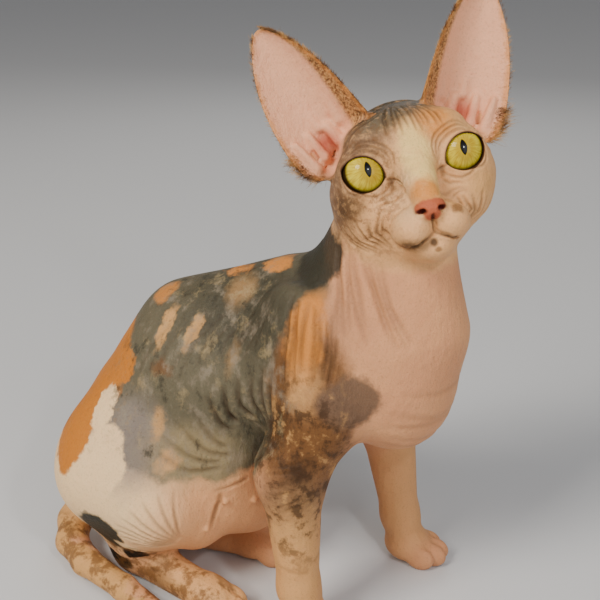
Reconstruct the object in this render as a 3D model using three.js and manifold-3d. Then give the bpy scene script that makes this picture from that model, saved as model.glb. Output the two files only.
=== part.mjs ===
// A young sphynx cat, sitting with its tail laid round its right side and its head turned to its right.
// Millimetres, Z up, X the way the cat's body faces, Y its left. The floor is Z = 0.
import * as THREE from "three";
import { mergeVertices } from "three/addons/utils/BufferGeometryUtils.js";
import ManifoldModule from "manifold-3d";

const manifold = await ManifoldModule();
manifold.setup();

// Driving dimensions
const HEAD_WIDTH = 69; // across the cheekbones
const HEAD_TALL = 250; // floor to the top of the skull
const EYE_RADIUS = 9.6;
const EAR_LENGTH = 56;
const EAR_THICK = 1.6;
const CHEST_RADIUS = 36;
const FOREPAW_RADIUS = 11;
const TAIL_ROOT_RADIUS = 11;
const TAIL_TIP_RADIUS = 4.5;
const GAP = 0.3; // kept between one node and the next
const ROOT_GAP = 0.8; // kept where an ear or the tail grows from a curved, faceted surface
const BED = 0.35; // how far each sole is pressed below the floor before it is cut flat

// The middle of the part's box in plan, taken off so that the part stands on its own middle
const MIDDLE_X = 5.8;
const MIDDLE_Y = -11.5;

const DEGREE = Math.PI / 180;
const FAR = 60; // a distance outside all the forms
const FORM_MARGIN = 14; // a form counts only this near to its own box
const SLOPE_STEP = 0.2; // the small step over which a field's slope is taken

const FLESH = 0xd9b59a;
const SLATE = 0x5b554c;
const GOLD = 0xc9b62a;

// The size of the cells that each node's surface is made from: small where the shape is fine
const CELLS = {
  face: 2.8, skull: 5.6, neck: 7, chest: 9.6, abdomen: 10,
  foreleg: 6, forepaw: 3.1, hindleg: 8, hindfoot: 4.5,
  tail_root: 5.3, tail_middle: 5.2, tail_tip: 4.6,
  earClearance: 3, tailClearance: 5,
};

// A turn: yaw to the left, then pitch up, then roll to the left, in degrees
function turn(yaw = 0, pitch = 0, roll = 0) {
  const euler = new THREE.Euler(roll * DEGREE, -pitch * DEGREE, yaw * DEGREE, "ZYX");
  return new THREE.Matrix4().makeRotationFromEuler(euler);
}

// A frame of its own for a part of the body: local points go in, body points come out
function frameAt(origin, rotation) {
  const matrix = rotation.clone().setPosition(...origin);
  const place = (x, y, z) => new THREE.Vector3(x, y, z).applyMatrix4(matrix).toArray();
  return { matrix, rotation, place };
}

// An ellipsoid of the flesh
function ball(centre, radii, blend, rotation = turn()) {
  const e = rotation.elements;
  const [rx, ry, rz] = Array.isArray(radii) ? radii : [radii, radii, radii];
  const reach = [0, 1, 2].map((i) => Math.hypot(e[i] * rx, e[4 + i] * ry, e[8 + i] * rz));
  const distance = (x, y, z) => {
    const dx = x - centre[0];
    const dy = y - centre[1];
    const dz = z - centre[2];
    const u = (e[0] * dx + e[1] * dy + e[2] * dz) / rx;
    const v = (e[4] * dx + e[5] * dy + e[6] * dz) / ry;
    const w = (e[8] * dx + e[9] * dy + e[10] * dz) / rz;
    const size = Math.hypot(u, v, w);
    return (size * (size - 1)) / Math.max(Math.hypot(u / rx, v / ry, w / rz), 1e-9);
  };
  const low = centre.map((c, i) => c - reach[i]);
  const high = centre.map((c, i) => c + reach[i]);
  return { blend, distance, low, high };
}

// A round cone of the flesh, from one joint to the next
function limb(from, to, fromRadius, toRadius, blend) {
  const along = to.map((t, i) => t - from[i]);
  const square = along.reduce((sum, a) => sum + a * a, 0);
  const widest = Math.max(fromRadius, toRadius);
  const distance = (x, y, z) => {
    const dx = x - from[0];
    const dy = y - from[1];
    const dz = z - from[2];
    const t = Math.min(Math.max((dx * along[0] + dy * along[1] + dz * along[2]) / square, 0), 1);
    const gone = Math.hypot(dx - t * along[0], dy - t * along[1], dz - t * along[2]);
    return gone - (fromRadius + (toRadius - fromRadius) * t);
  };
  const low = from.map((f, i) => Math.min(f, to[i]) - widest);
  const high = from.map((f, i) => Math.max(f, to[i]) + widest);
  return { blend, distance, low, high };
}

// The skin's signed distance: all the forms joined, each smoothly over its own blend
function fieldOf(forms) {
  return (x, y, z) => {
    let d = FAR;
    for (const form of forms) {
      const m = form.blend + FORM_MARGIN;
      if (x < form.low[0] - m || y < form.low[1] - m || z < form.low[2] - m) continue;
      if (x > form.high[0] + m || y > form.high[1] + m || z > form.high[2] + m) continue;
      const e = form.distance(x, y, z);
      const h = Math.max(form.blend - Math.abs(d - e), 0) / form.blend;
      d = Math.min(d, e) - (h * h * form.blend) / 4;
    }
    return d;
  };
}

// The closed surface of a field in a box, as a net of cells whose points are set onto the zero level.
// No value is exactly zero, and the box's own sides count as outside.
function netOf(field, low, high, cell) {
  const count = low.map((l, i) => Math.ceil((high[i] - l) / cell) + 1);
  const [nx, ny, nz] = count;
  const values = new Float32Array(nx * ny * nz);
  const at = (i, j, k) => (i * ny + j) * nz + k;
  for (let i = 0; i < nx; i++)
    for (let j = 0; j < ny; j++)
      for (let k = 0; k < nz; k++) {
        const rim = i === 0 || j === 0 || k === 0 || i === nx - 1 || j === ny - 1 || k === nz - 1;
        const d = field(low[0] + i * cell, low[1] + j * cell, low[2] + k * cell);
        values[at(i, j, k)] = rim ? Math.max(d, 1) : d || 1e-6;
      }
  const positions = [];
  const cellPoint = new Map();
  for (let i = 0; i < nx - 1; i++)
    for (let j = 0; j < ny - 1; j++)
      for (let k = 0; k < nz - 1; k++) {
        const point = crossingMiddle(values, at, i, j, k);
        if (!point) continue;
        cellPoint.set(at(i, j, k), positions.length / 3);
        positions.push(low[0] + point[0] * cell, low[1] + point[1] * cell, low[2] + point[2] * cell);
      }
  settle(field, positions, cell);
  return { positions, faces: netFaces(values, at, count, cellPoint) };
}

// The middle of the zero crossings on a cell's twelve edges, in cells
function crossingMiddle(values, at, i, j, k) {
  const sum = [0, 0, 0];
  let crossings = 0;
  for (let corner = 0; corner < 8; corner++) {
    const c = [corner & 1, (corner >> 1) & 1, (corner >> 2) & 1];
    const here = values[at(i + c[0], j + c[1], k + c[2])];
    for (let axis = 0; axis < 3; axis++) {
      if (c[axis]) continue;
      const next = [...c];
      next[axis] = 1;
      const there = values[at(i + next[0], j + next[1], k + next[2])];
      if (here < 0 === there < 0) continue;
      const share = here / (here - there);
      c.forEach((value, a) => {
        sum[a] += value + (a === axis ? share : 0);
      });
      crossings++;
    }
  }
  return crossings ? [i + sum[0] / crossings, j + sum[1] / crossings, k + sum[2] / crossings] : null;
}

// The four points round each grid edge that the surface crosses, in order, seen from outside
function netFaces(values, at, [nx, ny, nz], cellPoint) {
  const faces = [];
  const steps = [
    [[0, 0, 0], [0, -1, 0], [0, -1, -1], [0, 0, -1]],
    [[0, 0, 0], [0, 0, -1], [-1, 0, -1], [-1, 0, 0]],
    [[0, 0, 0], [-1, 0, 0], [-1, -1, 0], [0, -1, 0]],
  ];
  for (let i = 0; i < nx - 1; i++)
    for (let j = 0; j < ny - 1; j++)
      for (let k = 0; k < nz - 1; k++)
        steps.forEach((ring, axis) => {
          if ([i, j, k].some((index, a) => a !== axis && index === 0)) return;
          const here = values[at(i, j, k)] < 0;
          const there = values[at(i + (axis === 0), j + (axis === 1), k + (axis === 2))] < 0;
          if (here === there) return;
          const quad = ring.map(([a, b, c]) => cellPoint.get(at(i + a, j + b, k + c)));
          if (!here) quad.reverse();
          faces.push(quad);
        });
  return faces;
}

// Newton's steps along the field's slope, never more than a part of a cell
function settle(field, positions, cell) {
  const e = SLOPE_STEP;
  for (let step = 0; step < 2; step++)
    for (let n = 0; n < positions.length; n += 3) {
      const [x, y, z] = positions.slice(n, n + 3);
      const d = field(x, y, z);
      const slope = [
        (field(x + e, y, z) - field(x - e, y, z)) / (2 * e),
        (field(x, y + e, z) - field(x, y - e, z)) / (2 * e),
        (field(x, y, z + e) - field(x, y, z - e)) / (2 * e),
      ];
      const steep = Math.max(slope[0] ** 2 + slope[1] ** 2 + slope[2] ** 2, 0.1);
      const move = Math.max(Math.min(d / steep, cell / 3), -cell / 3);
      for (let a = 0; a < 3; a++) positions[n + a] -= move * slope[a];
    }
}

// Solids
function solidFrom(positions, triangles) {
  const mesh = new manifold.Mesh({
    numProp: 3,
    vertProperties: new Float32Array(positions),
    triVerts: new Uint32Array(triangles),
  });
  return new manifold.Manifold(mesh);
}

// A net's rings of four, each split along its shorter diagonal
function solidOfNet({ positions, faces }) {
  const step = (a, b, axis) => positions[3 * a + axis] - positions[3 * b + axis];
  const apart = (a, b) => Math.hypot(step(a, b, 0), step(a, b, 1), step(a, b, 2));
  const triangles = faces.flatMap(([a, b, c, d]) =>
    apart(a, c) < apart(b, d) ? [a, b, c, a, c, d] : [a, b, d, b, c, d],
  );
  return largest(solidFrom(positions, triangles));
}

// A closed geometry's points and faces, without the faces that its poles and seams leave flat
function solidOfGeometry(geometry, matrix = new THREE.Matrix4()) {
  const bare = new THREE.BufferGeometry();
  bare.setAttribute("position", geometry.getAttribute("position").clone());
  if (geometry.index) bare.setIndex(geometry.index.clone());
  const merged = mergeVertices(bare.applyMatrix4(matrix), 1e-3);
  const index = [...merged.index.array];
  const kept = [];
  for (let n = 0; n < index.length; n += 3) {
    const [a, b, c] = index.slice(n, n + 3);
    if (a !== b && b !== c && a !== c) kept.push(a, b, c);
  }
  return solidFrom(merged.attributes.position.array, kept);
}

function largest(solid) {
  return solid.decompose().reduce((best, piece) => (piece.volume() > best.volume() ? piece : best));
}

// A block of the given size, with its middle at a place in the body
function block(size, centre, rotation = turn()) {
  return solidOfGeometry(new THREE.BoxGeometry(...size), frameAt(centre, rotation).matrix);
}

// All that lies on the far side of a plane, standing back by half the gap
function beyond(point, normal) {
  const size = 500;
  const n = new THREE.Vector3(...normal).normalize();
  const centre = new THREE.Vector3(...point).addScaledVector(n, size / 2 - GAP / 2);
  const aside = new THREE.Vector3(0.1, 1, 0.2).normalize(); // never along a seam's own normal
  const matrix = new THREE.Matrix4().lookAt(new THREE.Vector3(), n, aside);
  return solidOfGeometry(new THREE.BoxGeometry(size, size, size), matrix.setPosition(centre));
}

const back = (normal) => normal.map((n) => -n);

// Head frame: its origin is midway between the pupils, X out of the face, Y to the cat's left
const EYE_LEVEL = HEAD_TALL - 25;
const head = frameAt([83.2, -5, EYE_LEVEL], turn(-53, 13, 12.5));
const EYE_APART = HEAD_WIDTH * 0.287; // each pupil from the middle
const CHEEK = HEAD_WIDTH / 2;

function headForms() {
  const at = head.place;
  const r = head.rotation;
  const skull = [
    ball(at(-33, 0, -1), [31, 28.5, 26.5], 8, r),
    ball(at(-15, 0, 8), [15, 19, 13], 8, r), // forehead
    limb(at(-5, 0, 1), at(11, 0, -13.5), 8.5, 5.8, 7), // bridge of the nose
    limb(at(-30, 0, -20), at(2, 0, -26), 15, 9, 10), // under the jaw
  ];
  const halves = [-1, 1].flatMap((side) => [
    ball(at(-18, side * (CHEEK - 11), -8), [17, 11, 11], 9, r), // cheekbone
    ball(at(-19, side * (CHEEK - 16), -18), [18, 13, 13], 9, r), // cheek
    limb(at(-28, side * 15, -24), at(0, side * 4, -33), 9.5, 6, 7), // jaw
    ball(at(-13, side * 16, 11.5), [11, 8.5, 6], 6, r), // brow
    ball(at(-9.4, side * EYE_APART, -0.6), EYE_RADIUS + 1.5, 5, r), // lids
    ball(at(7, side * 7.6, -25.2), [11, 8.4, 7.8], 4, r), // whisker pad
  ]);
  const chin = ball(at(4.5, 0, -34.3), [8.5, 7.6, 5.6], 4, r);
  const nose = ball(at(15, 0, -18), [5.4, 6, 4.6], 3, r);
  return [...skull, ...halves, chin, nose];
}

// Body places: the front turns a little to the right of the way the hindquarters face
const SPINE_Y = 8;
const HIND_TURN = 8;
const hind = frameAt([-44, -33, 0], turn(HIND_TURN));

function torsoForms() {
  const rump = turn(HIND_TURN);
  return [
    limb([42, 6, 128], [-24, -9, 106], CHEST_RADIUS - 1, CHEST_RADIUS + 2, 10), // ribs
    limb([-24, -10, 104], [-42, -20, 83], CHEST_RADIUS + 3, CHEST_RADIUS + 3, 14), // loins
    ball([-36, -14, 104], CHEST_RADIUS - 3, 8), // arch of the back
    ball([-44, -27, 63], [34, 37, 45], 16, rump),
    ball([-51, -30, 30], [26, 29, 31], 14, rump), // seat
    ball([64, SPINE_Y + 2, 132], [34, 33, 46], 14, turn(-12, 20)), // breast
    limb([18, 4, 153], [-34, -12, 132], 17, 18, 16), // back
    ball([-14, -20, 72], [34, 30, 38], 12), // flank
    ball([-14, -38, 42], [18, 16, 20], 9), // pouch of the belly
    ball([-5, -12, 48], [27, 22, 26], 12), // belly
  ];
}

function neckForms() {
  return [
    limb([54, SPINE_Y, 152], [67, 13, 202], 30, 22, 16),
    limb([83, SPINE_Y + 4, 148], [80, 8, 190], 19, 14, 14), // throat
  ];
}

// A foreleg: the paw's middle on the floor and the elbow, with the yaw of the foot
const FORELEGS = {
  right: { side: -1, foot: [53, -37, 0], elbow: [43, -33, 82], yaw: -8 },
  left: { side: 1, foot: [63, 41, 0], elbow: [50, 40, 82], yaw: 14 },
};
const WRIST_HEIGHT = 25;

function forelegForms({ side, foot, elbow, yaw }) {
  const shoulder = [54, SPINE_Y + side * 27, 116];
  const wrist = [foot[0] - 3, foot[1], WRIST_HEIGHT];
  const blade = [42, SPINE_Y - 3 + side * 29, 130];
  return [
    ball(blade, [24, 12, 38], 12, turn(-12, 12)), // shoulder blade
    limb(shoulder, elbow, 17, 15, 12),
    limb(elbow, wrist, 14.5, 9.5, 10),
    limb(wrist, [foot[0] + 1, foot[1], 12], 9.5, 9, 6),
    ...pawForms(frameAt(foot, turn(yaw))),
  ];
}

// A paw: a low pad with four toes in an arc
function pawForms(foot) {
  const toes = [-8.2, -2.9, 2.9, 8.2];
  return [
    ball(foot.place(3, 0, 9 - BED), [13, FOREPAW_RADIUS, 9], 5, foot.rotation),
    ...toes.map((y) =>
      ball(foot.place(17 - 0.09 * y * y, y, 6.6 - BED), [7.4, 3.7, 6.6], 2.2, foot.rotation),
    ),
  ];
}

function hindlegForms(side) {
  const at = (x, y, z) => hind.place(x, side * y, z);
  return [
    ball(at(-4, 18, 60), [33, 18, 39], 14, turn(HIND_TURN, 15)), // thigh
    limb(at(-12, 20, 60), at(22, 24, 52), 25, 17, 14), // thigh to knee
    limb(at(18, 23, 50), at(-2, 15, 16), 15, 10, 10), // knee to hock
    limb(at(-3, 14, 10 - BED), at(42, 23, 9 - BED), 10, 9, 8), // hock to toes
    ...pawForms(frameAt(at(46, 24, 0), turn(HIND_TURN + side * 10))),
  ];
}

// The tail leaves the rump, comes down to the floor and is laid forward beside the right hind foot
const TAIL = [
  [-68, -30, 46], [-85, -38, 26], [-89, -49, 13], [-80, -60, 9.6],
  [-62, -67, 8.8], [-32, -70, 7.9], [0, -74, 6.8], [28, -74, 5.4],
];

function tailForms() {
  const thinning = (TAIL_ROOT_RADIUS - TAIL_TIP_RADIUS) / (TAIL.length - 1);
  const radius = (n) => TAIL_ROOT_RADIUS - thinning * n;
  return TAIL.slice(1).map((point, n) => limb(TAIL[n], point, radius(n), radius(n + 1), 3));
}

// Seams between the nodes, each a point on a plane and the plane's normal
const headSeam = (point, normal) => [
  head.place(...point),
  new THREE.Vector3(...normal).transformDirection(head.matrix).toArray(),
];
const HEAD_SEAM = headSeam([-22, 0, -31], [0.38, 0, 0.925]);
const FACE_SEAM = headSeam([-17, 0, 0], [1, 0, 0]);
const COLLAR = [[55, SPINE_Y, 168], [0.4, 0, 0.917]];
const WAIST = [[5, 0, 95], [1, 0.1, 0.9]];
const TAIL_SEAMS = [[TAIL[3], [-0.6, 0.5, 0]], [TAIL[5], [-1, 0, 0]]];

const flesh = [
  ...torsoForms(),
  ...neckForms(),
  ...forelegForms(FORELEGS.right),
  ...forelegForms(FORELEGS.left),
  ...hindlegForms(-1),
  ...hindlegForms(1),
  ...headForms(),
];
const skin = fieldOf(flesh);

const sideName = (side) => (side < 0 ? "right" : "left");
const floor = block([700, 700, 100], [0, 0, -50]);

// A length of flesh in a box, held within a block if there is one, with all the cutters taken away
function cutFlesh(field, box, cell, cutters, within = null) {
  let solid = solidOfNet(netOf(field, ...box, cell));
  if (within) solid = solid.intersect(within);
  for (const cutter of [...cutters, floor]) solid = solid.subtract(cutter);
  return largest(solid);
}

// The blocks that hold each leg and foot, grown by the gap when another node is cut by them
const LEG_TOP = 92; // of the forelegs, just above the elbow
const HOCK_TOP = 18;
const FORELEG_BLOCK = [56, 42]; // long and wide
const HINDLEG_BLOCK = [96, 60, 77];
const HINDFOOT_BLOCK = [100, 60];
const UNDER = 10; // how far the lowest blocks reach below the floor

function forelegBlock({ foot, elbow }, grow = 0) {
  const [long, wide] = FORELEG_BLOCK;
  const top = LEG_TOP + grow;
  const middle = [(foot[0] + elbow[0]) / 2 + 5, (foot[1] + elbow[1]) / 2, (top - UNDER) / 2];
  return block([long + 2 * grow, wide + 2 * grow, top + UNDER], middle);
}

function hindlegBlock(side, grow = 0) {
  const size = HINDLEG_BLOCK.map((length) => length + 2 * grow);
  const middle = hind.place(-16, side * 47, HOCK_TOP + HINDLEG_BLOCK[2] / 2);
  return block(size, middle, hind.rotation);
}

function hindfootBlock(side, grow = 0) {
  const [long, wide] = HINDFOOT_BLOCK;
  const size = [long + 2 * grow, wide + 2 * grow, HOCK_TOP + UNDER + grow];
  return block(size, hind.place(38, side * 34, (HOCK_TOP - UNDER + grow) / 2), hind.rotation);
}

function colour(hex) {
  return new THREE.MeshStandardMaterial({ color: hex, roughness: 0.7, metalness: 0 });
}

const part = new THREE.Group();
part.name = "sphynx_cat";
part.position.set(-MIDDLE_X, -MIDDLE_Y, 0);

// A solid's points set on a fine lattice, which closes the slivers that the cuts leave
function welded(solid, lattice) {
  const { numProp, vertProperties, triVerts } = solid.getMesh();
  const places = new Map();
  const positions = [];
  const index = [];
  for (let n = 0; n < vertProperties.length; n += numProp) {
    const steps = [0, 1, 2].map((axis) => Math.round(vertProperties[n + axis] / lattice));
    const key = steps.join();
    if (!places.has(key)) {
      places.set(key, places.size);
      positions.push(...steps.map((count) => count * lattice));
    }
    index.push(places.get(key));
  }
  const triangles = [];
  for (let n = 0; n < triVerts.length; n += 3) {
    const [a, b, c] = [...triVerts.slice(n, n + 3)].map((v) => index[v]);
    if (a !== b && b !== c && a !== c) triangles.push(a, b, c);
  }
  return { positions, triangles };
}

// Whether every edge lies between exactly two faces
function hasTwoFacesAnEdge(triangles) {
  const faces = new Map();
  for (let n = 0; n < triangles.length; n += 3)
    for (let corner = 0; corner < 3; corner++) {
      const start = triangles[n + corner];
      const end = triangles[n + ((corner + 1) % 3)];
      const key = `${Math.min(start, end)},${Math.max(start, end)}`;
      faces.set(key, (faces.get(key) || 0) + 1);
    }
  return [...faces.values()].every((count) => count === 2);
}

const LATTICES = [0.004, 0.006, 0.01, 0.014, 0.02, 0.03];

// One named node, on the finest lattice that closes it
function add(name, solid, hex) {
  const tries = LATTICES.map((lattice) => welded(solid, lattice));
  const closed = tries.find((mesh) => hasTwoFacesAnEdge(mesh.triangles));
  if (!closed) throw new Error(`${name} keeps slivers on every lattice`);
  const geometry = new THREE.BufferGeometry();
  geometry.setAttribute("position", new THREE.Float32BufferAttribute(closed.positions, 3));
  geometry.setIndex(closed.triangles);
  geometry.computeVertexNormals();
  const mesh = new THREE.Mesh(geometry, colour(hex));
  mesh.name = name;
  part.add(mesh);
}

// An opening between the lids, as a prism along the eye's axis with pointed corners
const LID_WIDTH = 16.8;
const LID_HEIGHT = 13.6;
const LID_SLANT = 20; // degrees that the outer corner stands above the inner one
const LID_POINT = 1.25; // 1 is an ellipse, and more draws out the corners
function lidOpening(side, shrink) {
  const outline = new THREE.Shape();
  const steps = 28;
  for (let n = 0; n < steps; n++) {
    const t = (2 * Math.PI * n) / steps;
    const x = Math.cos(t) * (LID_WIDTH / 2 - shrink);
    const y = Math.sign(Math.sin(t)) * Math.abs(Math.sin(t)) ** LID_POINT * (LID_HEIGHT / 2 - shrink);
    if (n === 0) outline.moveTo(x, y);
    else outline.lineTo(x, y);
  }
  const prism = new THREE.ExtrudeGeometry(outline, { depth: 24, bevelEnabled: false });
  const axes = [new THREE.Vector3(0, 1, 0), new THREE.Vector3(0, 0, 1), new THREE.Vector3(1, 0, 0)];
  const facing = new THREE.Matrix4().makeBasis(...axes);
  const place = frameAt([-15 + shrink, side * EYE_APART, -0.8], turn(side * 8, 0, side * LID_SLANT));
  return solidOfGeometry(prism, head.matrix.clone().multiply(place.matrix).multiply(facing));
}

function eye(side) {
  const centre = head.place(-EYE_RADIUS, side * EYE_APART, -0.6);
  const globe = new THREE.SphereGeometry(EYE_RADIUS, 22, 16);
  const solid = solidOfGeometry(globe, frameAt(centre, head.rotation).matrix);
  return largest(solid.intersect(lidOpening(side, GAP)));
}

// Where a line along the face's axis first meets the skin, in the head frame
function faceDepth(y, z) {
  let x = 40;
  for (let step = 0; step < 60; step++) x -= Math.max(skin(...head.place(x, y, z)), 0.02) * 0.8;
  return x;
}

// The line of the mouth and the cleft above it, as thin grooves
const MOUTH = [[0, -27.4], [4.4, -29.6], [8.4, -31.6], [12.4, -32.6]];
const CLEFT = [[0, -20.6], [0, -24], [0, -27.6]];
const GROOVE = 0.8;
const GROOVE_RINGS = 14;
const GROOVE_SIDES = 6;

function groove(line, side) {
  const points = line.map(([y, z]) => {
    const x = faceDepth(side * y, z);
    return new THREE.Vector3(...head.place(x, side * y, z));
  });
  return solidOfGeometry(closedTube(points, GROOVE));
}

// A tube along a smooth curve, closed by drawing its two ends together
function closedTube(points, radius) {
  const curve = new THREE.CatmullRomCurve3(points);
  const tube = new THREE.TubeGeometry(curve, GROOVE_RINGS, radius, GROOVE_SIDES, false);
  const position = tube.getAttribute("position");
  for (const ring of [0, GROOVE_RINGS]) {
    const middle = curve.getPoint(ring / GROOVE_RINGS);
    for (let n = 0; n <= GROOVE_SIDES; n++)
      position.setXYZ(ring * (GROOVE_SIDES + 1) + n, middle.x, middle.y, middle.z);
  }
  return tube;
}

const NOSTRIL = [4.1, -18.6];

function nostril(side) {
  const y = side * NOSTRIL[0];
  const centre = head.place(faceDepth(y, NOSTRIL[1]) + 0.2, y, NOSTRIL[1]);
  const hole = new THREE.SphereGeometry(1, 10, 8).scale(2.4, 1.9, 1.0);
  const lean = head.matrix.clone().multiply(turn(side * 35, 0, side * -25));
  return solidOfGeometry(hole, lean.setPosition(...centre));
}

// An ear: a cupped leaf, U across it, V up it and W the way that its opening faces
const EAR_ROOT = [-23, 28.3, 14.8];
const EAR_INNER = 18.6; // half width at the root on the side of the crown
const EAR_OUTER = 20.2; // and on the outside
const EAR_CUP = 15; // depth of the cup near the root
const EAR_FACING = 16; // turn of the opening away from the middle
const EAR_LEAN = 23; // of the tip away from the upright
const EAR_SUNK = 0.2; // share of the leaf's length that runs on into the head
const EAR_LOBE = 0.1; // share at which the outer edge starts to round in to the root
const EAR_LOBE_LENGTH = 0.32;
const EAR_TILT = 4.2; // how far the inner edge's root stands above the outer edge's
const EAR_ROWS = 12;
const EAR_COLUMNS = 10;

// The leaf's half width on each side and the depth of its cup, at a share of the way from root to tip
function earSection(share) {
  const s = Math.max(share, 0);
  const bulge = Math.sin(Math.PI * s);
  const round = Math.sqrt(Math.max(1 - s ** 7, 0.02));
  const below = Math.max(EAR_LOBE - share, 0) / EAR_LOBE_LENGTH;
  const lobe = Math.sqrt(Math.max(1 - below ** 2, 0.1));
  const inner = EAR_INNER * (1 - 0.64 * s + 0.13 * bulge) * round;
  const outer = EAR_OUTER * (1 - 0.64 * s + 0.2 * bulge) * round * lobe;
  const depth = EAR_CUP * (1 - s) ** 0.8 + 1.2;
  return { inner, outer, depth };
}

function earPoint(share, across, lift) {
  const { inner, outer, depth } = earSection(share);
  const u = across * (across < 0 ? inner : outer);
  const tilt = (1 - Math.max(share, 0)) * -EAR_TILT * across;
  const v = EAR_LENGTH * share + tilt;
  const w = -depth * (1 - across ** 2) + 3 * share + lift;
  return [u, v, w];
}

// A closed leaf: its front, its back one thickness behind, and the rim that joins them
function earLeaf(side) {
  const positions = [];
  const triangles = [];
  const columns = EAR_COLUMNS + 1;
  const layer = (EAR_ROWS + 1) * columns;
  for (const lift of [0, -EAR_THICK])
    for (let row = 0; row <= EAR_ROWS; row++)
      for (let column = 0; column < columns; column++) {
        const share = -EAR_SUNK + ((1 + EAR_SUNK) * row) / EAR_ROWS;
        const across = (2 * column) / EAR_COLUMNS - 1;
        const narrowed = lift ? 0.98 : 1; // the back is a little narrower than the front
        positions.push(...earPoint(share, across * narrowed, lift * (1 + 0.6 * Math.abs(across))));
      }
  const quad = (a, b, c, d) => triangles.push(a, b, c, a, c, d);
  for (let row = 0; row < EAR_ROWS; row++)
    for (let column = 0; column < EAR_COLUMNS; column++) {
      const a = row * columns + column;
      quad(a, a + 1, a + columns + 1, a + columns);
      quad(layer + a, layer + a + columns, layer + a + columns + 1, layer + a + 1);
    }
  const rim = (a, b) => quad(b, a, a + layer, b + layer);
  for (let column = 0; column < EAR_COLUMNS; column++) {
    rim(column, column + 1);
    rim(EAR_ROWS * columns + column + 1, EAR_ROWS * columns + column);
  }
  for (let row = 0; row < EAR_ROWS; row++) {
    rim((row + 1) * columns, row * columns);
    rim(row * columns + EAR_COLUMNS, (row + 1) * columns + EAR_COLUMNS);
  }
  const lean = turn(EAR_FACING, 4, -EAR_LEAN);
  const place = (u, v, w) => {
    const local = new THREE.Vector3(w, u, v).applyMatrix4(lean);
    return head.place(local.x + EAR_ROOT[0], side * (local.y + EAR_ROOT[1]), local.z + EAR_ROOT[2]);
  };
  const placed = [];
  for (let n = 0; n < positions.length; n += 3) placed.push(...place(...positions.slice(n, n + 3)));
  if (side < 0) triangles.reverse();
  return solidFrom(placed, triangles);
}

// The boxes that hold the head's and the body's surfaces
const HEAD_BOX = [[0, -75, 150], [130, 70, 270]];
const BODY_BOX = [[-140, -100, -10], [125, 75, 215]];
const TAIL_BOX = [[-150, -105, -8], [60, -10, 70]];

// The skin grown by the clearance that an ear or the tail keeps from it
function clearance(box, cell) {
  return solidOfNet(netOf((x, y, z) => skin(x, y, z) - ROOT_GAP, ...box, cell));
}

function addHead() {
  const neckSide = beyond(HEAD_SEAM[0], back(HEAD_SEAM[1]));
  const skullSide = beyond(FACE_SEAM[0], back(FACE_SEAM[1]));
  const openings = [-1, 1].map((side) => lidOpening(side, 0));
  const lines = [-1, 1].flatMap((side) => [groove(MOUTH, side), nostril(side)]);
  const cuts = [neckSide, skullSide, ...openings, ...lines, groove(CLEFT, 1)];
  add("face", cutFlesh(skin, HEAD_BOX, CELLS.face, cuts), FLESH);
  add("skull", cutFlesh(skin, HEAD_BOX, CELLS.skull, [neckSide, beyond(...FACE_SEAM)]), SLATE);
  const clear = clearance(HEAD_BOX, CELLS.earClearance);
  for (const side of [-1, 1]) {
    const name = sideName(side);
    add(`ear_${name}`, largest(earLeaf(side).subtract(clear)), FLESH);
    add(`eye_${name}`, eye(side), GOLD);
  }
}

// The neck, the chest with the fore part of the back, and the abdomen with the rump
function addBody() {
  const legs = [-1, 1].flatMap((side) => [
    hindlegBlock(side, GAP),
    hindfootBlock(side, GAP),
    forelegBlock(FORELEGS[sideName(side)], GAP),
  ]);
  const headSide = beyond(...COLLAR);
  const shoulderSide = beyond(COLLAR[0], back(COLLAR[1]));
  const rumpSide = beyond(WAIST[0], back(WAIST[1]));
  const breastSide = beyond(...WAIST);
  add("neck", cutFlesh(skin, BODY_BOX, CELLS.neck, [beyond(...HEAD_SEAM), shoulderSide]), SLATE);
  add("chest", cutFlesh(skin, BODY_BOX, CELLS.chest, [headSide, rumpSide, ...legs]), FLESH);
  add("abdomen", cutFlesh(skin, BODY_BOX, CELLS.abdomen, [headSide, breastSide, ...legs]), SLATE);
}

// Each foreleg down to the wrist, and its paw
function addForeleg(side) {
  const name = sideName(side);
  const foreleg = FORELEGS[name];
  const [x, y] = foreleg.foot;
  const legBox = [[x - 45, y - 35, -8], [x + 45, y + 35, 100]];
  const pawBox = [[x - 30, y - 25, -8], [x + 40, y + 25, 30]];
  const wrist = [x, y, WRIST_HEIGHT - 3];
  const within = forelegBlock(foreleg);
  const leg = cutFlesh(skin, legBox, CELLS.foreleg, [beyond(wrist, [0, 0, -1])], within);
  const paw = cutFlesh(skin, pawBox, CELLS.forepaw, [beyond(wrist, [0, 0, 1])], within);
  add(`foreleg_${name}`, leg, SLATE);
  add(`forepaw_${name}`, paw, FLESH);
}

// Each thigh and shin down to the hock, and the long foot laid on the floor
function addHindleg(side) {
  const name = sideName(side);
  const footSide = hindfootBlock(side, GAP);
  const leg = cutFlesh(skin, BODY_BOX, CELLS.hindleg, [footSide], hindlegBlock(side));
  const foot = cutFlesh(skin, BODY_BOX, CELLS.hindfoot, [], hindfootBlock(side));
  add(`hindleg_${name}`, leg, SLATE);
  add(`hindfoot_${name}`, foot, FLESH);
}

function addTail() {
  const field = fieldOf(tailForms());
  const clear = clearance(BODY_BOX, CELLS.tailClearance);
  const [near, far] = TAIL_SEAMS;
  const rootCuts = [clear, beyond(near[0], back(near[1]))];
  const middleCuts = [clear, beyond(...near), beyond(far[0], back(far[1]))];
  add("tail_root", cutFlesh(field, TAIL_BOX, CELLS.tail_root, rootCuts), SLATE);
  add("tail_middle", cutFlesh(field, TAIL_BOX, CELLS.tail_middle, middleCuts), FLESH);
  add("tail_tip", cutFlesh(field, TAIL_BOX, CELLS.tail_tip, [clear, beyond(...far)]), SLATE);
}

addHead();
addBody();
[-1, 1].forEach(addForeleg);
[-1, 1].forEach(addHindleg);
addTail();

export default part;
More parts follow.
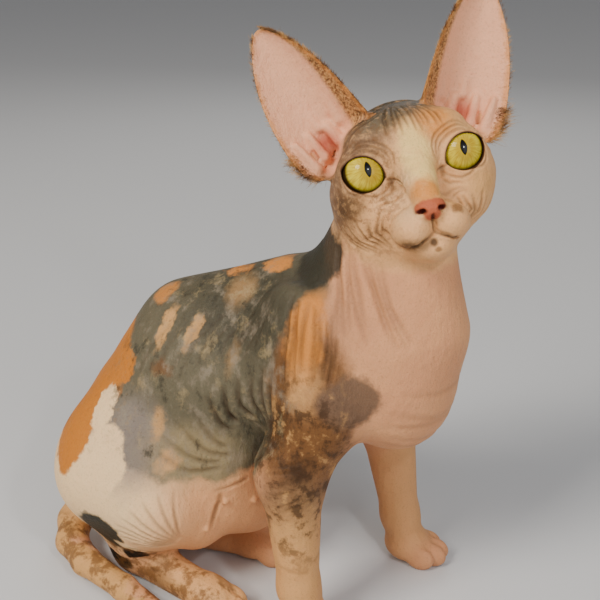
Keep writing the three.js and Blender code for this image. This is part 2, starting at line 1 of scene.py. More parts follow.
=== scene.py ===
# A young sphynx cat, sitting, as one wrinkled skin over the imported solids, with its eyes and ear fuzz.
import math
from dataclasses import dataclass

import bmesh
import bpy
import numpy as np
from mathutils import Matrix, Vector


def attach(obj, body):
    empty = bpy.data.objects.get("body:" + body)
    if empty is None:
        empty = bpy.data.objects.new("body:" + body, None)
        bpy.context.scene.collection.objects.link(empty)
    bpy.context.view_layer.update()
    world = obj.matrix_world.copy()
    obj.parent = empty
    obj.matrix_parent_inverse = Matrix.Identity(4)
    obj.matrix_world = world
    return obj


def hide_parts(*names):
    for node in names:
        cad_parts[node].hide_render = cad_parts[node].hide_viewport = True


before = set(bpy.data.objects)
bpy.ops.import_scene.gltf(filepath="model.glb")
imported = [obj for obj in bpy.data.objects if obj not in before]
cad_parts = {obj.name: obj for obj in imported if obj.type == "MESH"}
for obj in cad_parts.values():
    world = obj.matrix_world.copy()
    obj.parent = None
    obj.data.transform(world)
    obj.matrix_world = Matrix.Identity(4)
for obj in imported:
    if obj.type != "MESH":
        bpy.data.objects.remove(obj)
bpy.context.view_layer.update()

MM = 0.001

# Driving dimensions, in millimetres, as in the part's source
HEAD_WIDTH = 69
HEAD_TALL = 250
EYE_RADIUS = 9.6
EAR_LENGTH = 56
EAR_THICK = 1.6
CHEST_RADIUS = 36
FOREPAW_RADIUS = 11
TAIL_ROOT_RADIUS = 11
TAIL_TIP_RADIUS = 4.5
BED = 0.35
COAT = 0.25  # the skin lies this far inside the solids
MIDDLE = np.array([5.8, -11.5, 0.0])
CELL = 0.95  # of the net that the skin is made from
FAR = 60.0  # the distance given to places that lie near no form
MARGIN = 6.0  # each form is worked out this far round itself


def turn(yaw=0.0, pitch=0.0, roll=0.0):
    """A turn to the left about Z, then up about Y, then over about X; its columns are the turned axes."""
    y, p, r = math.radians(yaw), math.radians(pitch), math.radians(roll)
    about_z = np.array([[math.cos(y), -math.sin(y), 0], [math.sin(y), math.cos(y), 0], [0, 0, 1]])
    about_y = np.array([[math.cos(p), 0, -math.sin(p)], [0, 1, 0], [math.sin(p), 0, math.cos(p)]])
    about_x = np.array([[1, 0, 0], [0, math.cos(r), -math.sin(r)], [0, math.sin(r), math.cos(r)]])
    return about_z @ about_y @ about_x


class Place:
    """A frame of its own for a part of the body."""

    def __init__(self, origin, rotation):
        self.origin = np.array(origin, float)
        self.rotation = rotation

    def __call__(self, x, y, z):
        return self.origin + self.rotation @ np.array([x, y, z], float)

    def local(self, x, y, z):
        """Body points in this frame, as three arrays that broadcast."""
        r = self.rotation
        dx = x - self.origin[0]
        dy = y - self.origin[1]
        dz = z - self.origin[2]
        return [r[0, i] * dx + r[1, i] * dy + r[2, i] * dz for i in range(3)]


class Ball:
    """An ellipsoid of the flesh."""

    cut = False

    def __init__(self, centre, radii, blend, rotation=turn()):
        self.place = Place(centre, rotation)
        self.radii = [float(r) for r in (radii if isinstance(radii, (list, tuple)) else [radii] * 3)]
        self.blend = blend
        reach = np.sqrt(((rotation * np.array(self.radii)) ** 2).sum(axis=1))
        self.low = self.place.origin - reach
        self.high = self.place.origin + reach

    def distance(self, x, y, z):
        u, v, w = [q / r for q, r in zip(self.place.local(x, y, z), self.radii)]
        rx, ry, rz = self.radii
        size = np.sqrt(u * u + v * v + w * w)
        steep = np.sqrt((u / rx) ** 2 + (v / ry) ** 2 + (w / rz) ** 2)
        return size * (size - 1) / np.maximum(steep, 1e-9)


class Limb:
    """A round cone of the flesh, from one joint to the next."""

    cut = False

    def __init__(self, start, end, start_radius, end_radius, blend):
        self.start = np.array(start, float)
        self.along = np.array(end, float) - self.start
        self.radii = (start_radius, end_radius)
        self.blend = blend
        widest = max(self.radii)
        self.low = np.minimum(self.start, end) - widest
        self.high = np.maximum(self.start, end) + widest

    def distance(self, x, y, z):
        dx, dy, dz = x - self.start[0], y - self.start[1], z - self.start[2]
        ax, ay, az = self.along
        t = np.clip((dx * ax + dy * ay + dz * az) / (self.along @ self.along), 0, 1)
        gone = np.sqrt((dx - t * ax) ** 2 + (dy - t * ay) ** 2 + (dz - t * az) ** 2)
        return gone - (self.radii[0] + (self.radii[1] - self.radii[0]) * t)


def carve(form, blend):
    """The same form, taken away from the flesh."""
    form.cut = True
    form.blend = blend
    return form


# Head frame: its origin is midway between the pupils, X out of the face, Y to the cat's left
EYE_LEVEL = HEAD_TALL - 25
head = Place([83.2, -5, EYE_LEVEL], turn(-53, 13, 12.5))
EYE_APART = HEAD_WIDTH * 0.287
CHEEK = HEAD_WIDTH / 2


def head_forms():
    r = head.rotation
    forms = [
        Ball(head(-33, 0, -1), [31, 28.5, 26.5], 8, r),
        Ball(head(-15, 0, 8), [15, 19, 13], 8, r),
        Limb(head(-5, 0, 1), head(11, 0, -13.5), 8.5, 5.8, 7),
        Limb(head(-30, 0, -20), head(2, 0, -26), 15, 9, 10),
    ]
    for side in (-1, 1):
        forms += [
            Ball(head(-18, side * (CHEEK - 11), -8), [17, 11, 11], 9, r),
            Ball(head(-19, side * (CHEEK - 16), -18), [18, 13, 13], 9, r),
            Limb(head(-28, side * 15, -24), head(0, side * 4, -33), 9.5, 6, 7),
            Ball(head(-13, side * 16, 11.5), [11, 8.5, 6], 6, r),
            Ball(head(-9.4, side * EYE_APART, -0.6), EYE_RADIUS + 1.5, 5, r),
            Ball(head(7, side * 7.6, -25.2), [11, 8.4, 7.8], 4, r),
        ]
    forms += [Ball(head(4.5, 0, -34.3), [8.5, 7.6, 5.6], 4, r), Ball(head(15, 0, -18), [5.4, 6, 4.6], 3, r)]
    return forms


# Body places: the front turns a little to the right of the way the hindquarters face
SPINE_Y = 8
HIND_TURN = 8
hind = Place([-44, -33, 0], turn(HIND_TURN))


def torso_forms():
    rump = turn(HIND_TURN)
    return [
        Limb([42, 6, 128], [-24, -9, 106], CHEST_RADIUS - 1, CHEST_RADIUS + 2, 10),
        Limb([-24, -10, 104], [-42, -20, 83], CHEST_RADIUS + 3, CHEST_RADIUS + 3, 14),
        Ball([-36, -14, 104], CHEST_RADIUS - 3, 8),
        Ball([-44, -27, 63], [34, 37, 45], 16, rump),
        Ball([-51, -30, 30], [26, 29, 31], 14, rump),
        Ball([64, SPINE_Y + 2, 132], [34, 33, 46], 14, turn(-12, 20)),
        Limb([18, 4, 153], [-34, -12, 132], 17, 18, 16),
        Ball([-14, -20, 72], [34, 30, 38], 12),
        Ball([-14, -38, 42], [18, 16, 20], 9),
        Ball([-5, -12, 48], [27, 22, 26], 12),
    ]


def neck_forms():
    return [
        Limb([54, SPINE_Y, 152], [67, 13, 202], 30, 22, 16),
        Limb([83, SPINE_Y + 4, 148], [80, 8, 190], 19, 14, 14),
    ]


# A foreleg: the paw's middle on the floor and the elbow, with the yaw of the foot
FORELEGS = {
    "right": {"side": -1, "foot": [53, -37, 0], "elbow": [43, -33, 82], "yaw": -8},
    "left": {"side": 1, "foot": [63, 41, 0], "elbow": [50, 40, 82], "yaw": 14},
}
WRIST_HEIGHT = 25
TOES = (-8.2, -2.9, 2.9, 8.2)  # each toe's place across the foot


def paw_forms(foot):
    """A low pad with four toes in an arc."""
    toes = [Ball(foot(17 - 0.09 * y * y, y, 6.6 - BED), [7.4, 3.7, 6.6], 2.2, foot.rotation) for y in TOES]
    return [Ball(foot(3, 0, 9 - BED), [13, FOREPAW_RADIUS, 9], 5, foot.rotation), *toes]


def foreleg_forms(leg):
    side, foot, elbow = leg["side"], leg["foot"], leg["elbow"]
    shoulder = [54, SPINE_Y + side * 27, 116]
    wrist = [foot[0] - 3, foot[1], WRIST_HEIGHT]
    blade = [42, SPINE_Y - 3 + side * 29, 130]
    return [
        Ball(blade, [24, 12, 38], 12, turn(-12, 12)),
        Limb(shoulder, elbow, 17, 15, 12),
        Limb(elbow, wrist, 14.5, 9.5, 10),
        Limb(wrist, [foot[0] + 1, foot[1], 12], 9.5, 9, 6),
        *paw_forms(Place(foot, turn(leg["yaw"]))),
    ]


def hindleg_forms(side):
    def at(x, y, z):
        return hind(x, side * y, z)

    return [
        Ball(at(-4, 18, 60), [33, 18, 39], 14, turn(HIND_TURN, 15)),
        Limb(at(-12, 20, 60), at(22, 24, 52), 25, 17, 14),
        Limb(at(18, 23, 50), at(-2, 15, 16), 15, 10, 10),
        Limb(at(-3, 14, 10 - BED), at(42, 23, 9 - BED), 10, 9, 8),
        *paw_forms(Place(at(46, 24, 0), turn(HIND_TURN + side * 10))),
    ]


# The tail leaves the rump, comes down to the floor and is laid forward beside the right hind foot
TAIL = [
    [-68, -30, 46], [-85, -38, 26], [-89, -49, 13], [-80, -60, 9.6],
    [-62, -67, 8.8], [-32, -70, 7.9], [0, -74, 6.8], [28, -74, 5.4],
]


def tail_forms():
    radii = np.linspace(TAIL_ROOT_RADIUS, TAIL_TIP_RADIUS, len(TAIL))
    return [Limb(TAIL[n], TAIL[n + 1], radii[n], radii[n + 1], 3) for n in range(len(TAIL) - 1)]


# An ear: a cupped leaf, U across it, V up it and W the way that its opening faces
EAR_ROOT = (-23, 28.3, 14.8)
EAR_INNER = 18.6
EAR_OUTER = 20.2
EAR_CUP = 15
EAR_FACING = 16
EAR_LEAN = 23
EAR_TILT = 4.2
EAR_SUNK = 0.2
EAR_LOBE = 0.1
EAR_LOBE_LENGTH = 0.32


class Ear:
    """The leaf as a form of the flesh: a thin sheet within its outline."""

    cut = False
    blend = 3.0

    def __init__(self, side):
        self.side = side
        self.leaf = Place(EAR_ROOT, turn(EAR_FACING, 4, -EAR_LEAN))
        corners = [self.body_point(w, u, v) for w in (-22, 12) for u in (-26, 26) for v in (-14, 62)]
        self.low = np.min(corners, axis=0)
        self.high = np.max(corners, axis=0)

    def body_point(self, w, u, v):
        x, y, z = self.leaf(w, u, v)
        return head(x, self.side * y, z)

    def leaf_axes(self, x, y, z):
        """U, V and W of body points."""
        hx, hy, hz = head.local(x, y, z)
        w, u, v = self.leaf.local(hx, self.side * hy, hz)
        return u, v, w

    @staticmethod
    def section(share):
        """Half width on each side and the depth of the cup, at a share of the way from root to tip."""
        s = np.clip(share, 0, 1)
        bulge = np.sin(np.pi * s)
        taper = np.sqrt(np.maximum(1 - s ** 7, 0.02))
        inner = EAR_INNER * (1 - 0.64 * s + 0.13 * bulge) * taper
        below = np.maximum(EAR_LOBE - share, 0) / EAR_LOBE_LENGTH
        lobe = np.sqrt(np.maximum(1 - below ** 2, 0.1))
        outer = EAR_OUTER * (1 - 0.64 * s + 0.2 * bulge) * taper * lobe
        depth = EAR_CUP * (1 - s) ** 0.8 + 1.2
        return inner, outer, depth

    def across_and_share(self, u, v):
        share = v / EAR_LENGTH
        across = u * 0
        for _ in range(3):
            inner, outer, _ = self.section(share)
            across = u / np.where(u < 0, inner, outer)
            share = (v + EAR_TILT * across * (1 - np.clip(share, 0, 1))) / EAR_LENGTH
        return across, share

    def sheet(self, u, v):
        across, share = self.across_and_share(u, v)
        inner, outer, depth = self.section(share)
        lift = -depth * (1 - np.minimum(across * across, 1.6)) + 3 * share
        return lift, across, share, np.where(u < 0, inner, outer)

    def distance(self, x, y, z):
        u, v, w = self.leaf_axes(x, y, z)
        lift, across, share, width = self.sheet(u, v)
        step = 0.5
        slope_u = (self.sheet(u + step, v)[0] - lift) / step
        slope_v = (self.sheet(u, v + step)[0] - lift) / step
        steep = np.sqrt(1 + slope_u ** 2 + slope_v ** 2)
        thick = EAR_THICK * (1 + 0.5 * np.clip(1 - share * 3, 0, 1))
        sheet = np.abs((w - lift) / steep + thick / 2) - thick / 2
        outline = np.maximum((np.abs(across) - 1) * width * 0.85, (share - 1) * EAR_LENGTH)
        outline = np.maximum(outline, (-EAR_SUNK - share) * EAR_LENGTH)
        h = np.maximum(1.2 - np.abs(sheet - outline), 0) / 1.2
        return np.maximum(sheet, outline) + h * h * 0.3


EARS = (Ear(-1), Ear(1))


class Lids:
    """The opening between the lids: a prism along the eye's axis with pointed corners."""

    cut = True
    blend = 0.7
    WIDTH = 16.8
    HEIGHT = 13.6
    SLANT = 20

    def __init__(self, side):
        lean = turn(side * 8, 0, side * self.SLANT)
        self.place = Place(head(-9, side * EYE_APART, -0.8), head.rotation @ lean)
        self.low = self.place.origin - 16
        self.high = self.place.origin + 16

    def distance(self, x, y, z):
        deep, across, up = self.place.local(x, y, z)
        a = self.WIDTH / 2
        b = self.HEIGHT / 2
        high = np.abs(up) / b
        f = high ** 1.6 + (across / a) ** 2 - 1
        steep = np.sqrt((1.6 * high ** 0.6 / b) ** 2 + (2 * across / a ** 2) ** 2)
        return np.maximum(f / np.maximum(steep, 0.1), -deep)


def join(d, e, form):
    """One more form smoothly joined to the distance so far, or cut from it."""
    k = form.blend
    if form.cut:
        h = np.maximum(k - np.abs(d + e), 0) / k
        return np.maximum(d, -e) + h * h * (k / 4)
    h = np.maximum(k - np.abs(d - e), 0) / k
    return np.minimum(d, e) - h * h * (k / 4)


def field(forms, points):
    """The skin's signed distance at a list of points."""
    d = np.full(len(points), FAR)
    x, y, z = points.T
    for form in forms:
        m = form.blend + MARGIN
        low, high = form.low - m, form.high + m
        near = (x > low[0]) & (x < high[0]) & (y > low[1]) & (y < high[1]) & (z > low[2]) & (z < high[2])
        if near.any():
            d[near] = join(d[near], form.distance(x[near], y[near], z[near]), form)
    return d


def field_grid(forms, low, count, cell):
    """The same on a regular grid, each form worked out only round itself."""
    axes = [low[i] + cell * np.arange(count[i]) for i in range(3)]
    d = np.full(count, FAR, np.float32)
    for form in forms:
        m = form.blend + MARGIN
        ends = [np.searchsorted(axes[i], [form.low[i] - m, form.high[i] + m]) for i in range(3)]
        if any(a == b for a, b in ends):
            continue
        part = tuple(slice(a, b) for a, b in ends)
        x = axes[0][part[0]][:, None, None]
        y = axes[1][part[1]][None, :, None]
        z = axes[2][part[2]][None, None, :]
        d[part] = join(d[part], form.distance(x, y, z), form)
    return d


def surface_net(d, low, cell):
    """The zero level of a grid as quads, one point for each cell that it crosses."""
    inside = d < 0
    offsets = list(np.ndindex(2, 2, 2))
    corners = [inside[tuple(slice(i, n - 1 + i) for i, n in zip(o, d.shape))] for o in offsets]
    cells = np.argwhere(np.any(corners, axis=0) & ~np.all(corners, axis=0))
    number = np.full(np.array(d.shape) - 1, -1, np.int64)
    number[tuple(cells.T)] = np.arange(len(cells))
    total = np.zeros((len(cells), 3))
    crossings = np.zeros(len(cells))
    for o in offsets:
        for axis in range(3):
            if o[axis]:
                continue
            far = list(o)
            far[axis] = 1
            here = d[tuple((cells + o).T)]
            there = d[tuple((cells + far).T)]
            crossed = (here < 0) != (there < 0)
            share = here / np.where(crossed, here - there, 1)
            point = np.tile(np.array(o, float), (len(cells), 1))
            point[:, axis] = share
            total += np.where(crossed[:, None], point, 0)
            crossings += crossed
    points = np.array(low) + cell * (cells + total / crossings[:, None])
    return points, np.concatenate([net_quads(inside, number, axis) for axis in range(3)])


def net_quads(inside, number, axis):
    """A quad round each grid edge along one axis that the surface crosses."""
    first, second = (axis + 1) % 3, (axis + 2) % 3
    start = [slice(None)] * 3
    end = [slice(None)] * 3
    start[axis] = slice(0, -1)
    end[axis] = slice(1, None)
    edges = np.argwhere(inside[tuple(start)] != inside[tuple(end)])
    leaving = inside[tuple(edges.T)]
    ring = []
    for a, b in ((0, 0), (-1, 0), (-1, -1), (0, -1)):
        cell = edges.copy()
        cell[:, first] += a
        cell[:, second] += b
        ring.append(number[tuple(cell.T)])
    quads = np.stack(ring, axis=1)
    quads[~leaving] = quads[~leaving][:, ::-1]
    return quads


def slope_of(forms, points, step=0.12):
    slope = np.empty_like(points)
    for axis in range(3):
        shift = np.zeros(3)
        shift[axis] = step
        slope[:, axis] = (field(forms, points + shift) - field(forms, points - shift)) / (2 * step)
    return slope


def settle(forms, points, most, steps=2):
    """Points moved along the field's slope until they lie the coat's depth inside the solids."""
    for _ in range(steps):
        slope = slope_of(forms, points)
        steep = np.maximum((slope ** 2).sum(axis=1), 0.15)
        move = np.clip((field(forms, points) + COAT) / steep, -most, most)
        points = points - move[:, None] * slope
    return points


NIPPLES = [(2, -46, 43), (9, -39, 57), (18, -28, 55), (2, 10, 30), (16, -4, 42)]


def nipple_forms(forms):
    """Small teats, each on the nearest skin to its named place."""
    places = settle(forms, np.array(NIPPLES, float), 6, steps=4)
    return [Ball(place, [1.7, 1.7, 1.7], 1.6) for place in places]


def ear_folds(ear):
    """The knob, the folds and the canal at the root of an ear's cup."""
    def ridge(start, end, first, last):
        return Limb(ear.body_point(*start), ear.body_point(*end), first, last, 2.5)

    return [
        ridge((-14.5, 0, 1), (-13.4, 0.5, 8), 3.4, 2.4),
        ridge((-14.2, -5, 8), (-11.2, -7.5, 25), 1.7, 0.8),
        ridge((-11.5, 8.5, -2), (-10, 9, 9), 2.9, 1.7),
        ridge((-12.8, 4, 10), (-11.4, 4, 24), 1.8, 0.9),
        ridge((-7.5, 13.5, -5), (-4.5, 14.6, 8), 2.8, 1.5),
        carve(Limb(ear.body_point(-11, 4.6, 5.5), ear.body_point(-15, 4.2, -3), 1.3, 2.3, 1), 1.2),
        carve(Limb(ear.body_point(-9.5, 11.4, 2), ear.body_point(-12, 11.4, -6), 0.8, 1.2, 1), 1.0),
    ]


def all_forms():
    flesh = [*torso_forms(), *neck_forms()]
    for leg in FORELEGS.values():
        flesh += foreleg_forms(leg)
    for side in (-1, 1):
        flesh += hindleg_forms(side)
    flesh += tail_forms()
    flesh += head_forms()
    flesh += face_cuts(flesh)
    for ear in EARS:
        flesh += [ear, *ear_folds(ear)]
    flesh += nipple_forms(flesh)
    return flesh


FACE_FRONT = 40.0  # a place ahead of the nose, in the head frame
LONGEST_STEP = 2.0


def on_face(forms, y, z, lift=0.0):
    """Where a line along the face's axis first meets the skin, in the head frame."""
    x = FACE_FRONT
    for _ in range(80):
        x -= 0.8 * min(max(float(field(forms, head(x, y, z)[None])[0]), 0.02), LONGEST_STEP)
    return x + lift, y, z


MOUTH = [(0, -27.4), (4.4, -29.6), (8.4, -31.6), (12.4, -32.6)]
CLEFT = [(0, -20.6), (0, -24), (0, -27.6)]
NOSTRIL = (4.1, -18.6)


def groove(forms, places, start, end):
    """A fine cut along a line on the face."""
    line = [head(*on_face(forms, y, z)) for y, z in places]
    return [carve(Limb(a, b, start, end, 1), 1.6) for a, b in zip(line, line[1:])]


def face_cuts(forms):
    """Lids, nostrils, the line of the mouth and the cleft above it."""
    cuts = [Lids(-1), Lids(1)]
    for side in (-1, 1):
        nostril = head(*on_face(forms, side * NOSTRIL[0], NOSTRIL[1], 0.3))
        lean = head.rotation @ turn(side * 35, 0, side * -25)
        cuts.append(carve(Ball(nostril, [2.6, 1.9, 1.0], 1, lean), 0.8))
        cuts += groove(forms, [(side * y, z) for y, z in MOUTH], 0.55, 0.45)
    return cuts + groove(forms, CLEFT, 0.4, 0.4)


def put(name, data):
    """A new object in the scene."""
    piece = bpy.data.objects.new(name, data)
    bpy.context.scene.collection.objects.link(piece)
    return piece


def new_mesh(name, points, faces):
    """A mesh object in metres, on the part's own middle, from body points in millimetres."""
    mesh = bpy.data.meshes.new(name)
    places = ((np.asarray(points) - MIDDLE) * MM).tolist()
    mesh.from_pydata(places, [], [list(map(int, face)) for face in faces])
    mesh.update()
    mesh.polygons.foreach_set("use_smooth", [True] * len(mesh.polygons))
    return put(name, mesh)


FLESH_NODES = [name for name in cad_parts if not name.startswith("eye_")]


ROOM = 3  # round the flesh, in the grid


def make_net(forms):
    """The skin of all the forms as quads of even size."""
    low = np.min([form.low for form in forms if not form.cut], axis=0) - ROOM
    high = np.max([form.high for form in forms if not form.cut], axis=0) + ROOM
    low[2] = -4  # under the floor
    count = np.ceil((high - low) / CELL).astype(int) + 1
    points, quads = surface_net(field_grid(forms, low, tuple(count), CELL), low, CELL)
    return settle(forms, points, CELL / 2), quads


def divide_quads(points, quads, chosen):
    """Each chosen quad split in four; its neighbours take the new edge points as extra corners."""
    corners = quads[chosen]
    edges = np.sort(np.stack([corners, np.roll(corners, -1, axis=1)], axis=2), axis=2)
    unique, index = np.unique(edges.reshape(-1, 2), axis=0, return_inverse=True)
    first = len(points)
    middle = first + index.reshape(-1, 4)
    centre = first + len(unique) + np.arange(len(corners))
    points = np.concatenate([points, points[unique].mean(axis=1), points[corners].mean(axis=1)])
    parts = [np.stack([corners[:, n], middle[:, n], centre, middle[:, n - 1]], axis=1) for n in range(4)]
    split = {(int(a), int(b)): first + n for n, (a, b) in enumerate(unique)}
    touched = np.zeros(first, bool)
    touched[unique.ravel()] = True
    others = quads[~chosen]
    border = touched[others].sum(axis=1) >= 2
    faces = np.concatenate([*parts, others[~border]]).tolist()
    for quad in others[border].tolist():
        ring = []
        for a, b in zip(quad, quad[1:] + quad[:1]):
            ring.append(a)
            extra = split.get((min(a, b), max(a, b)))
            if extra is not None:
                ring.append(extra)
        faces.append(ring)
    return points, faces


def head_share(points):
    """Which points lie on the face and ears, where the skin is made finer."""
    x, y, z = head.local(*points.T)
    return (x > -38) & (np.abs(y) < 60) & (z > -40 + 0.3 * np.abs(x))


@dataclass
class Crease:
    """A furrow along a line on the skin, with the skin heaped up a little on both sides."""

    points: np.ndarray
    depth: float
    width: float
    # dark: how much painted shade darkens the furrow's colour, from 0 to 1
    dark: float


CREASE_POINTS = 9
# The darkness of a crease is painted shade in the skin's colour
CREASE_SHADE = 0.55  # of a common crease, from 0 to 1
HEAP = 0.28  # of the skin beside a crease, as a share of its depth
DEEPEST = 1.6  # of creases that cross
HIGHEST = 0.35


def crease(places, depth, width, bow=(0, 0, 0), dark=CREASE_SHADE):
    """A crease through two or more places, as a bowed line of short lengths."""
    places = np.array(places, float)
    t = np.linspace(0, len(places) - 1, CREASE_POINTS)
    steps = np.arange(len(places))
    line = np.stack([np.interp(t, steps, places[:, axis]) for axis in range(3)], axis=1)
    line += np.outer(np.sin(np.pi * np.linspace(0, 1, CREASE_POINTS)), bow)
    return Crease(line, depth, width, dark)


def fan(root, tips, bow, depth, width, dark=CREASE_SHADE):
    """Creases that spread from one fold to a row of tips."""
    root = np.array(root, float)
    creases = []
    for tip in tips:
        start = root + 0.1 * (np.array(tip, float) - root)
        creases.append(crease([start, tip], depth, width, bow, dark))
    return creases


def row(first, last, count, depth, width, wave, dark):
    """A row of like creases of uneven length and depth, from one line to another."""
    first, last = np.array(first, float), np.array(last, float)
    draw = np.random.default_rng(count * 7 + int(abs(first.sum())))
    creases = []
    for n in range(count):
        share = (n + draw.uniform(-0.25, 0.25)) / max(count - 1, 1)
        places = first + share * (last - first) + wave * draw.normal(size=first.shape)
        places[0] += draw.uniform(0, 0.35) * (places[1] - places[0])
        places[-1] += draw.uniform(0, 0.45) * (places[-2] - places[-1])
        deep = depth * draw.uniform(0.45, 1.2)
        creases.append(crease(places, deep, width * draw.uniform(0.8, 1.2), dark=dark))
    return creases


def body_creases():
    """Folds of the neck, shoulder, flank and groin, in body millimetres."""
    ribs = [(35, -34, 132), (29, -36, 130), (23, -38, 127), (17, -40, 123), (11, -42, 118), (5, -44, 112)]
    waist = [(-3, -47, 105), (-10, -50, 98), (-15, -53, 90), (-17, -54, 82)]
    thigh = [(-6, -58, 66), (-12, -62, 64), (-17, -66, 61), (-22, -69, 57), (-26, -71, 53),
             (-29, -73, 48), (-31, -73, 43), (-31, -71, 38), (-28, -68, 33)]
    return [
        *row([(47, -18, 190), (58, -26, 172), (66, -31, 152)],
             [(74, -20, 184), (86, -20, 166), (94, -12, 146)],
             9, 0.8, 1.8, 1.4, 0.4),
        *row([(40, -26, 172), (42, -38, 152), (42, -42, 128)],
             [(64, -28, 162), (68, -34, 146), (66, -38, 128)],
             9, 1.0, 1.7, 1.2, 0.6),
        *fan((35, -44, 89), ribs, (-3, -4, -4), 1.5, 1.9, 0.8),
        *fan((33, -44, 86), waist, (2, -5, -8), 0.9, 2.1, 0.45),
        *fan((-4, -58, 41), thigh, (0, -2, 1), 0.75, 1.2, 0.5),
        *row([(30, -30, 164), (24, -34, 148), (18, -38, 130)],
             [(-24, -34, 146), (-30, -44, 130), (-32, -52, 110)],
             14, 0.4, 1.5, 2.0, 0.3),
        *row([(64, -40, 100), (52, -49, 97), (38, -46, 92)], [(64, -40, 78), (54, -48, 72), (44, -44, 68)],
             6, 0.5, 1.3, 0.6, 0.4),
        *row([(-34, -62, 30), (-26, -64, 28), (-18, -56, 26)],
             [(-30, -60, 17), (-24, -60, 15), (-16, -52, 16)],
             5, 0.6, 1.1, 0.5, 0.5),
        crease([(8, -41, 62), (7, -43, 52), (4, -44, 42)], 1.3, 1.8, dark=0.6),
        crease([(6, -42, 64), (20, -36, 68), (30, -30, 74)], 0.8, 1.6, dark=0.4),
        *row([(58, 30, 176), (76, 30, 166), (90, 26, 148)], [(40, 26, 172), (50, 40, 150), (52, 44, 128)],
             8, 0.9, 1.9, 1.0, 0.5),
        *fan((38, 44, 90), [(26, 30, 124), (14, 30, 116), (2, 28, 106), (-8, 24, 96), (-10, 22, 84)],
             (0, 3, -3), 1.0, 2.0),
        *row([(84, -16, 128), (96, 4, 122), (92, 28, 126)], [(78, -12, 100), (90, 6, 94), (82, 30, 98)],
             5, 0.35, 2.4, 1.4, 0.2),
        *row([(44, -24, 48), (54, -26, 47), (62, -36, 46)], [(44, -46, 40), (54, -49, 39), (62, -40, 38)],
             3, 0.25, 1.4, 0.6, 0.3),
    ]


def face_creases(forms):
    """Folds of the brow, lids, pads and jaw, and the dark line of the lips, in head millimetres; the folds'
    darkening is painted shade, and along the lips it is also their own dark colour.
    """
    local = [
        *row([(-7, -26, 8), (-9, -18, 16), (-11, -9, 22)], [(-24, -27, 12), (-27, -16, 24), (-27, -3, 27)],
             12, 0.8, 0.9, 0.45, 0.75),
        *row([(-2, -9, 11), (-8, -8, 18), (-15, -6, 24)], [(-1, 15, 11), (-7, 12, 18), (-16, 6, 25)],
             11, 0.75, 0.9, 0.45, 0.7),
        *row([(-26, -14, 20), (-24, 0, 26), (-26, 14, 22)], [(-36, -16, 20), (-36, 0, 25), (-36, 16, 20)],
             6, 0.6, 1.0, 0.6, 0.5),
    ]
    for side in (-1, 1):
        local += [
            *row([(0, side * 14, -17), (1, side * 16.8, -24), (0, side * 13, -32)],
                 [(-18, side * 29, -14), (-17, side * 27, -25), (-15, side * 20, -33)],
                 8, 0.8, 1.1, 0.5, 0.65),
            *row([(5, side * 8, -6), (3, side * 12, -11), (1, side * 19, -13.5)],
                 [(6, side * 7.5, -9), (4, side * 12, -14.5), (0, side * 20, -17)],
                 3, 0.4, 1.0, 0.3, 0.4),
            crease([(1, side * 12, -4.6), (4, side * 9.4, -8), (6, side * 7.6, -11)], 0.6, 0.9, dark=0.95),
            *lid_creases(side),
            *lip_creases(forms, side),
        ]
    for fold in local:
        fold.points = np.array([head(*place) for place in fold.points])
    return local


def lip_creases(forms, side):
    lips, cleft = [[on_face(forms, side * y, z, -0.2) for y, z in line] for line in (MOUTH, CLEFT)]
    return [crease(lips, 0.5, 0.9, dark=1.0), crease(cleft, 0.3, 0.6, dark=0.9)]


# Each fold round the lids: its size in theirs, where it starts and ends round the eye, and its depth
LID_FOLDS = [(1.32, 20, 160, 0.6), (1.62, 30, 165, 0.45), (1.9, 40, 160, 0.4), (1.35, 200, 345, 0.5)]


def lid_creases(side):
    """Folds that run round the lids, above and below."""
    creases = []
    for grow, start, end, depth in LID_FOLDS:
        angles = np.radians(np.linspace(start, end, 11))
        lean = math.radians(Lids.SLANT * side)
        across = np.cos(angles) * Lids.WIDTH / 2 * grow * side
        up = np.sin(angles) * Lids.HEIGHT / 2 * grow
        y = side * EYE_APART + across * math.cos(lean) - up * math.sin(lean)
        z = -0.8 + across * math.sin(lean) + up * math.cos(lean)
        creases.append(Crease(np.stack([y * 0 - 2, y, z], axis=1), depth, 0.9, 0.5))
    return creases


def press_creases(forms, points, normals):
    """Moves the points by all the creases and returns how deep in a crease each one lies, times the
    crease's darkness: the painted shade of the creases.
    """
    painted_shade = np.zeros(len(points))
    moved = np.zeros(len(points))
    for fold in body_creases() + face_creases(forms):
        line = settle(forms, fold.points, 5, steps=4)
        reach = 3 * fold.width
        near = np.all((points > line.min(axis=0) - reach) & (points < line.max(axis=0) + reach), axis=1)
        if not near.any():
            continue
        p = points[near]
        away = np.full(len(p), 1e3)
        along = np.zeros(len(p))
        for n, (a, b) in enumerate(zip(line, line[1:])):
            t = np.clip((p - a) @ (b - a) / ((b - a) @ (b - a) + 1e-9), 0, 1)
            gone = np.linalg.norm(p - a - t[:, None] * (b - a), axis=1)
            closer = gone < away
            away = np.where(closer, gone, away)
            along = np.where(closer, (n + t) / (len(line) - 1), along)
        fade = np.sin(np.pi * np.clip(0.08 + 0.84 * along, 0, 1)) ** 0.7
        furrow = np.exp(-((away / fold.width * 1.5) ** 2)) * fade
        heap = np.exp(-(((away - fold.width) / fold.width * 1.3) ** 2)) * fade
        moved[near] += fold.depth * (HEAP * heap - furrow)
        # painted shade: each point keeps the darkest crease that it lies in
        painted_shade[near] = np.maximum(painted_shade[near], furrow * fold.dark)
    return points + np.clip(moved, -DEEPEST, HIGHEST)[:, None] * normals, painted_shade


def set_attribute(mesh, name, values):
    mesh.attributes.new(name, "FLOAT", "POINT").data.foreach_set("value", np.asarray(values, np.float32))


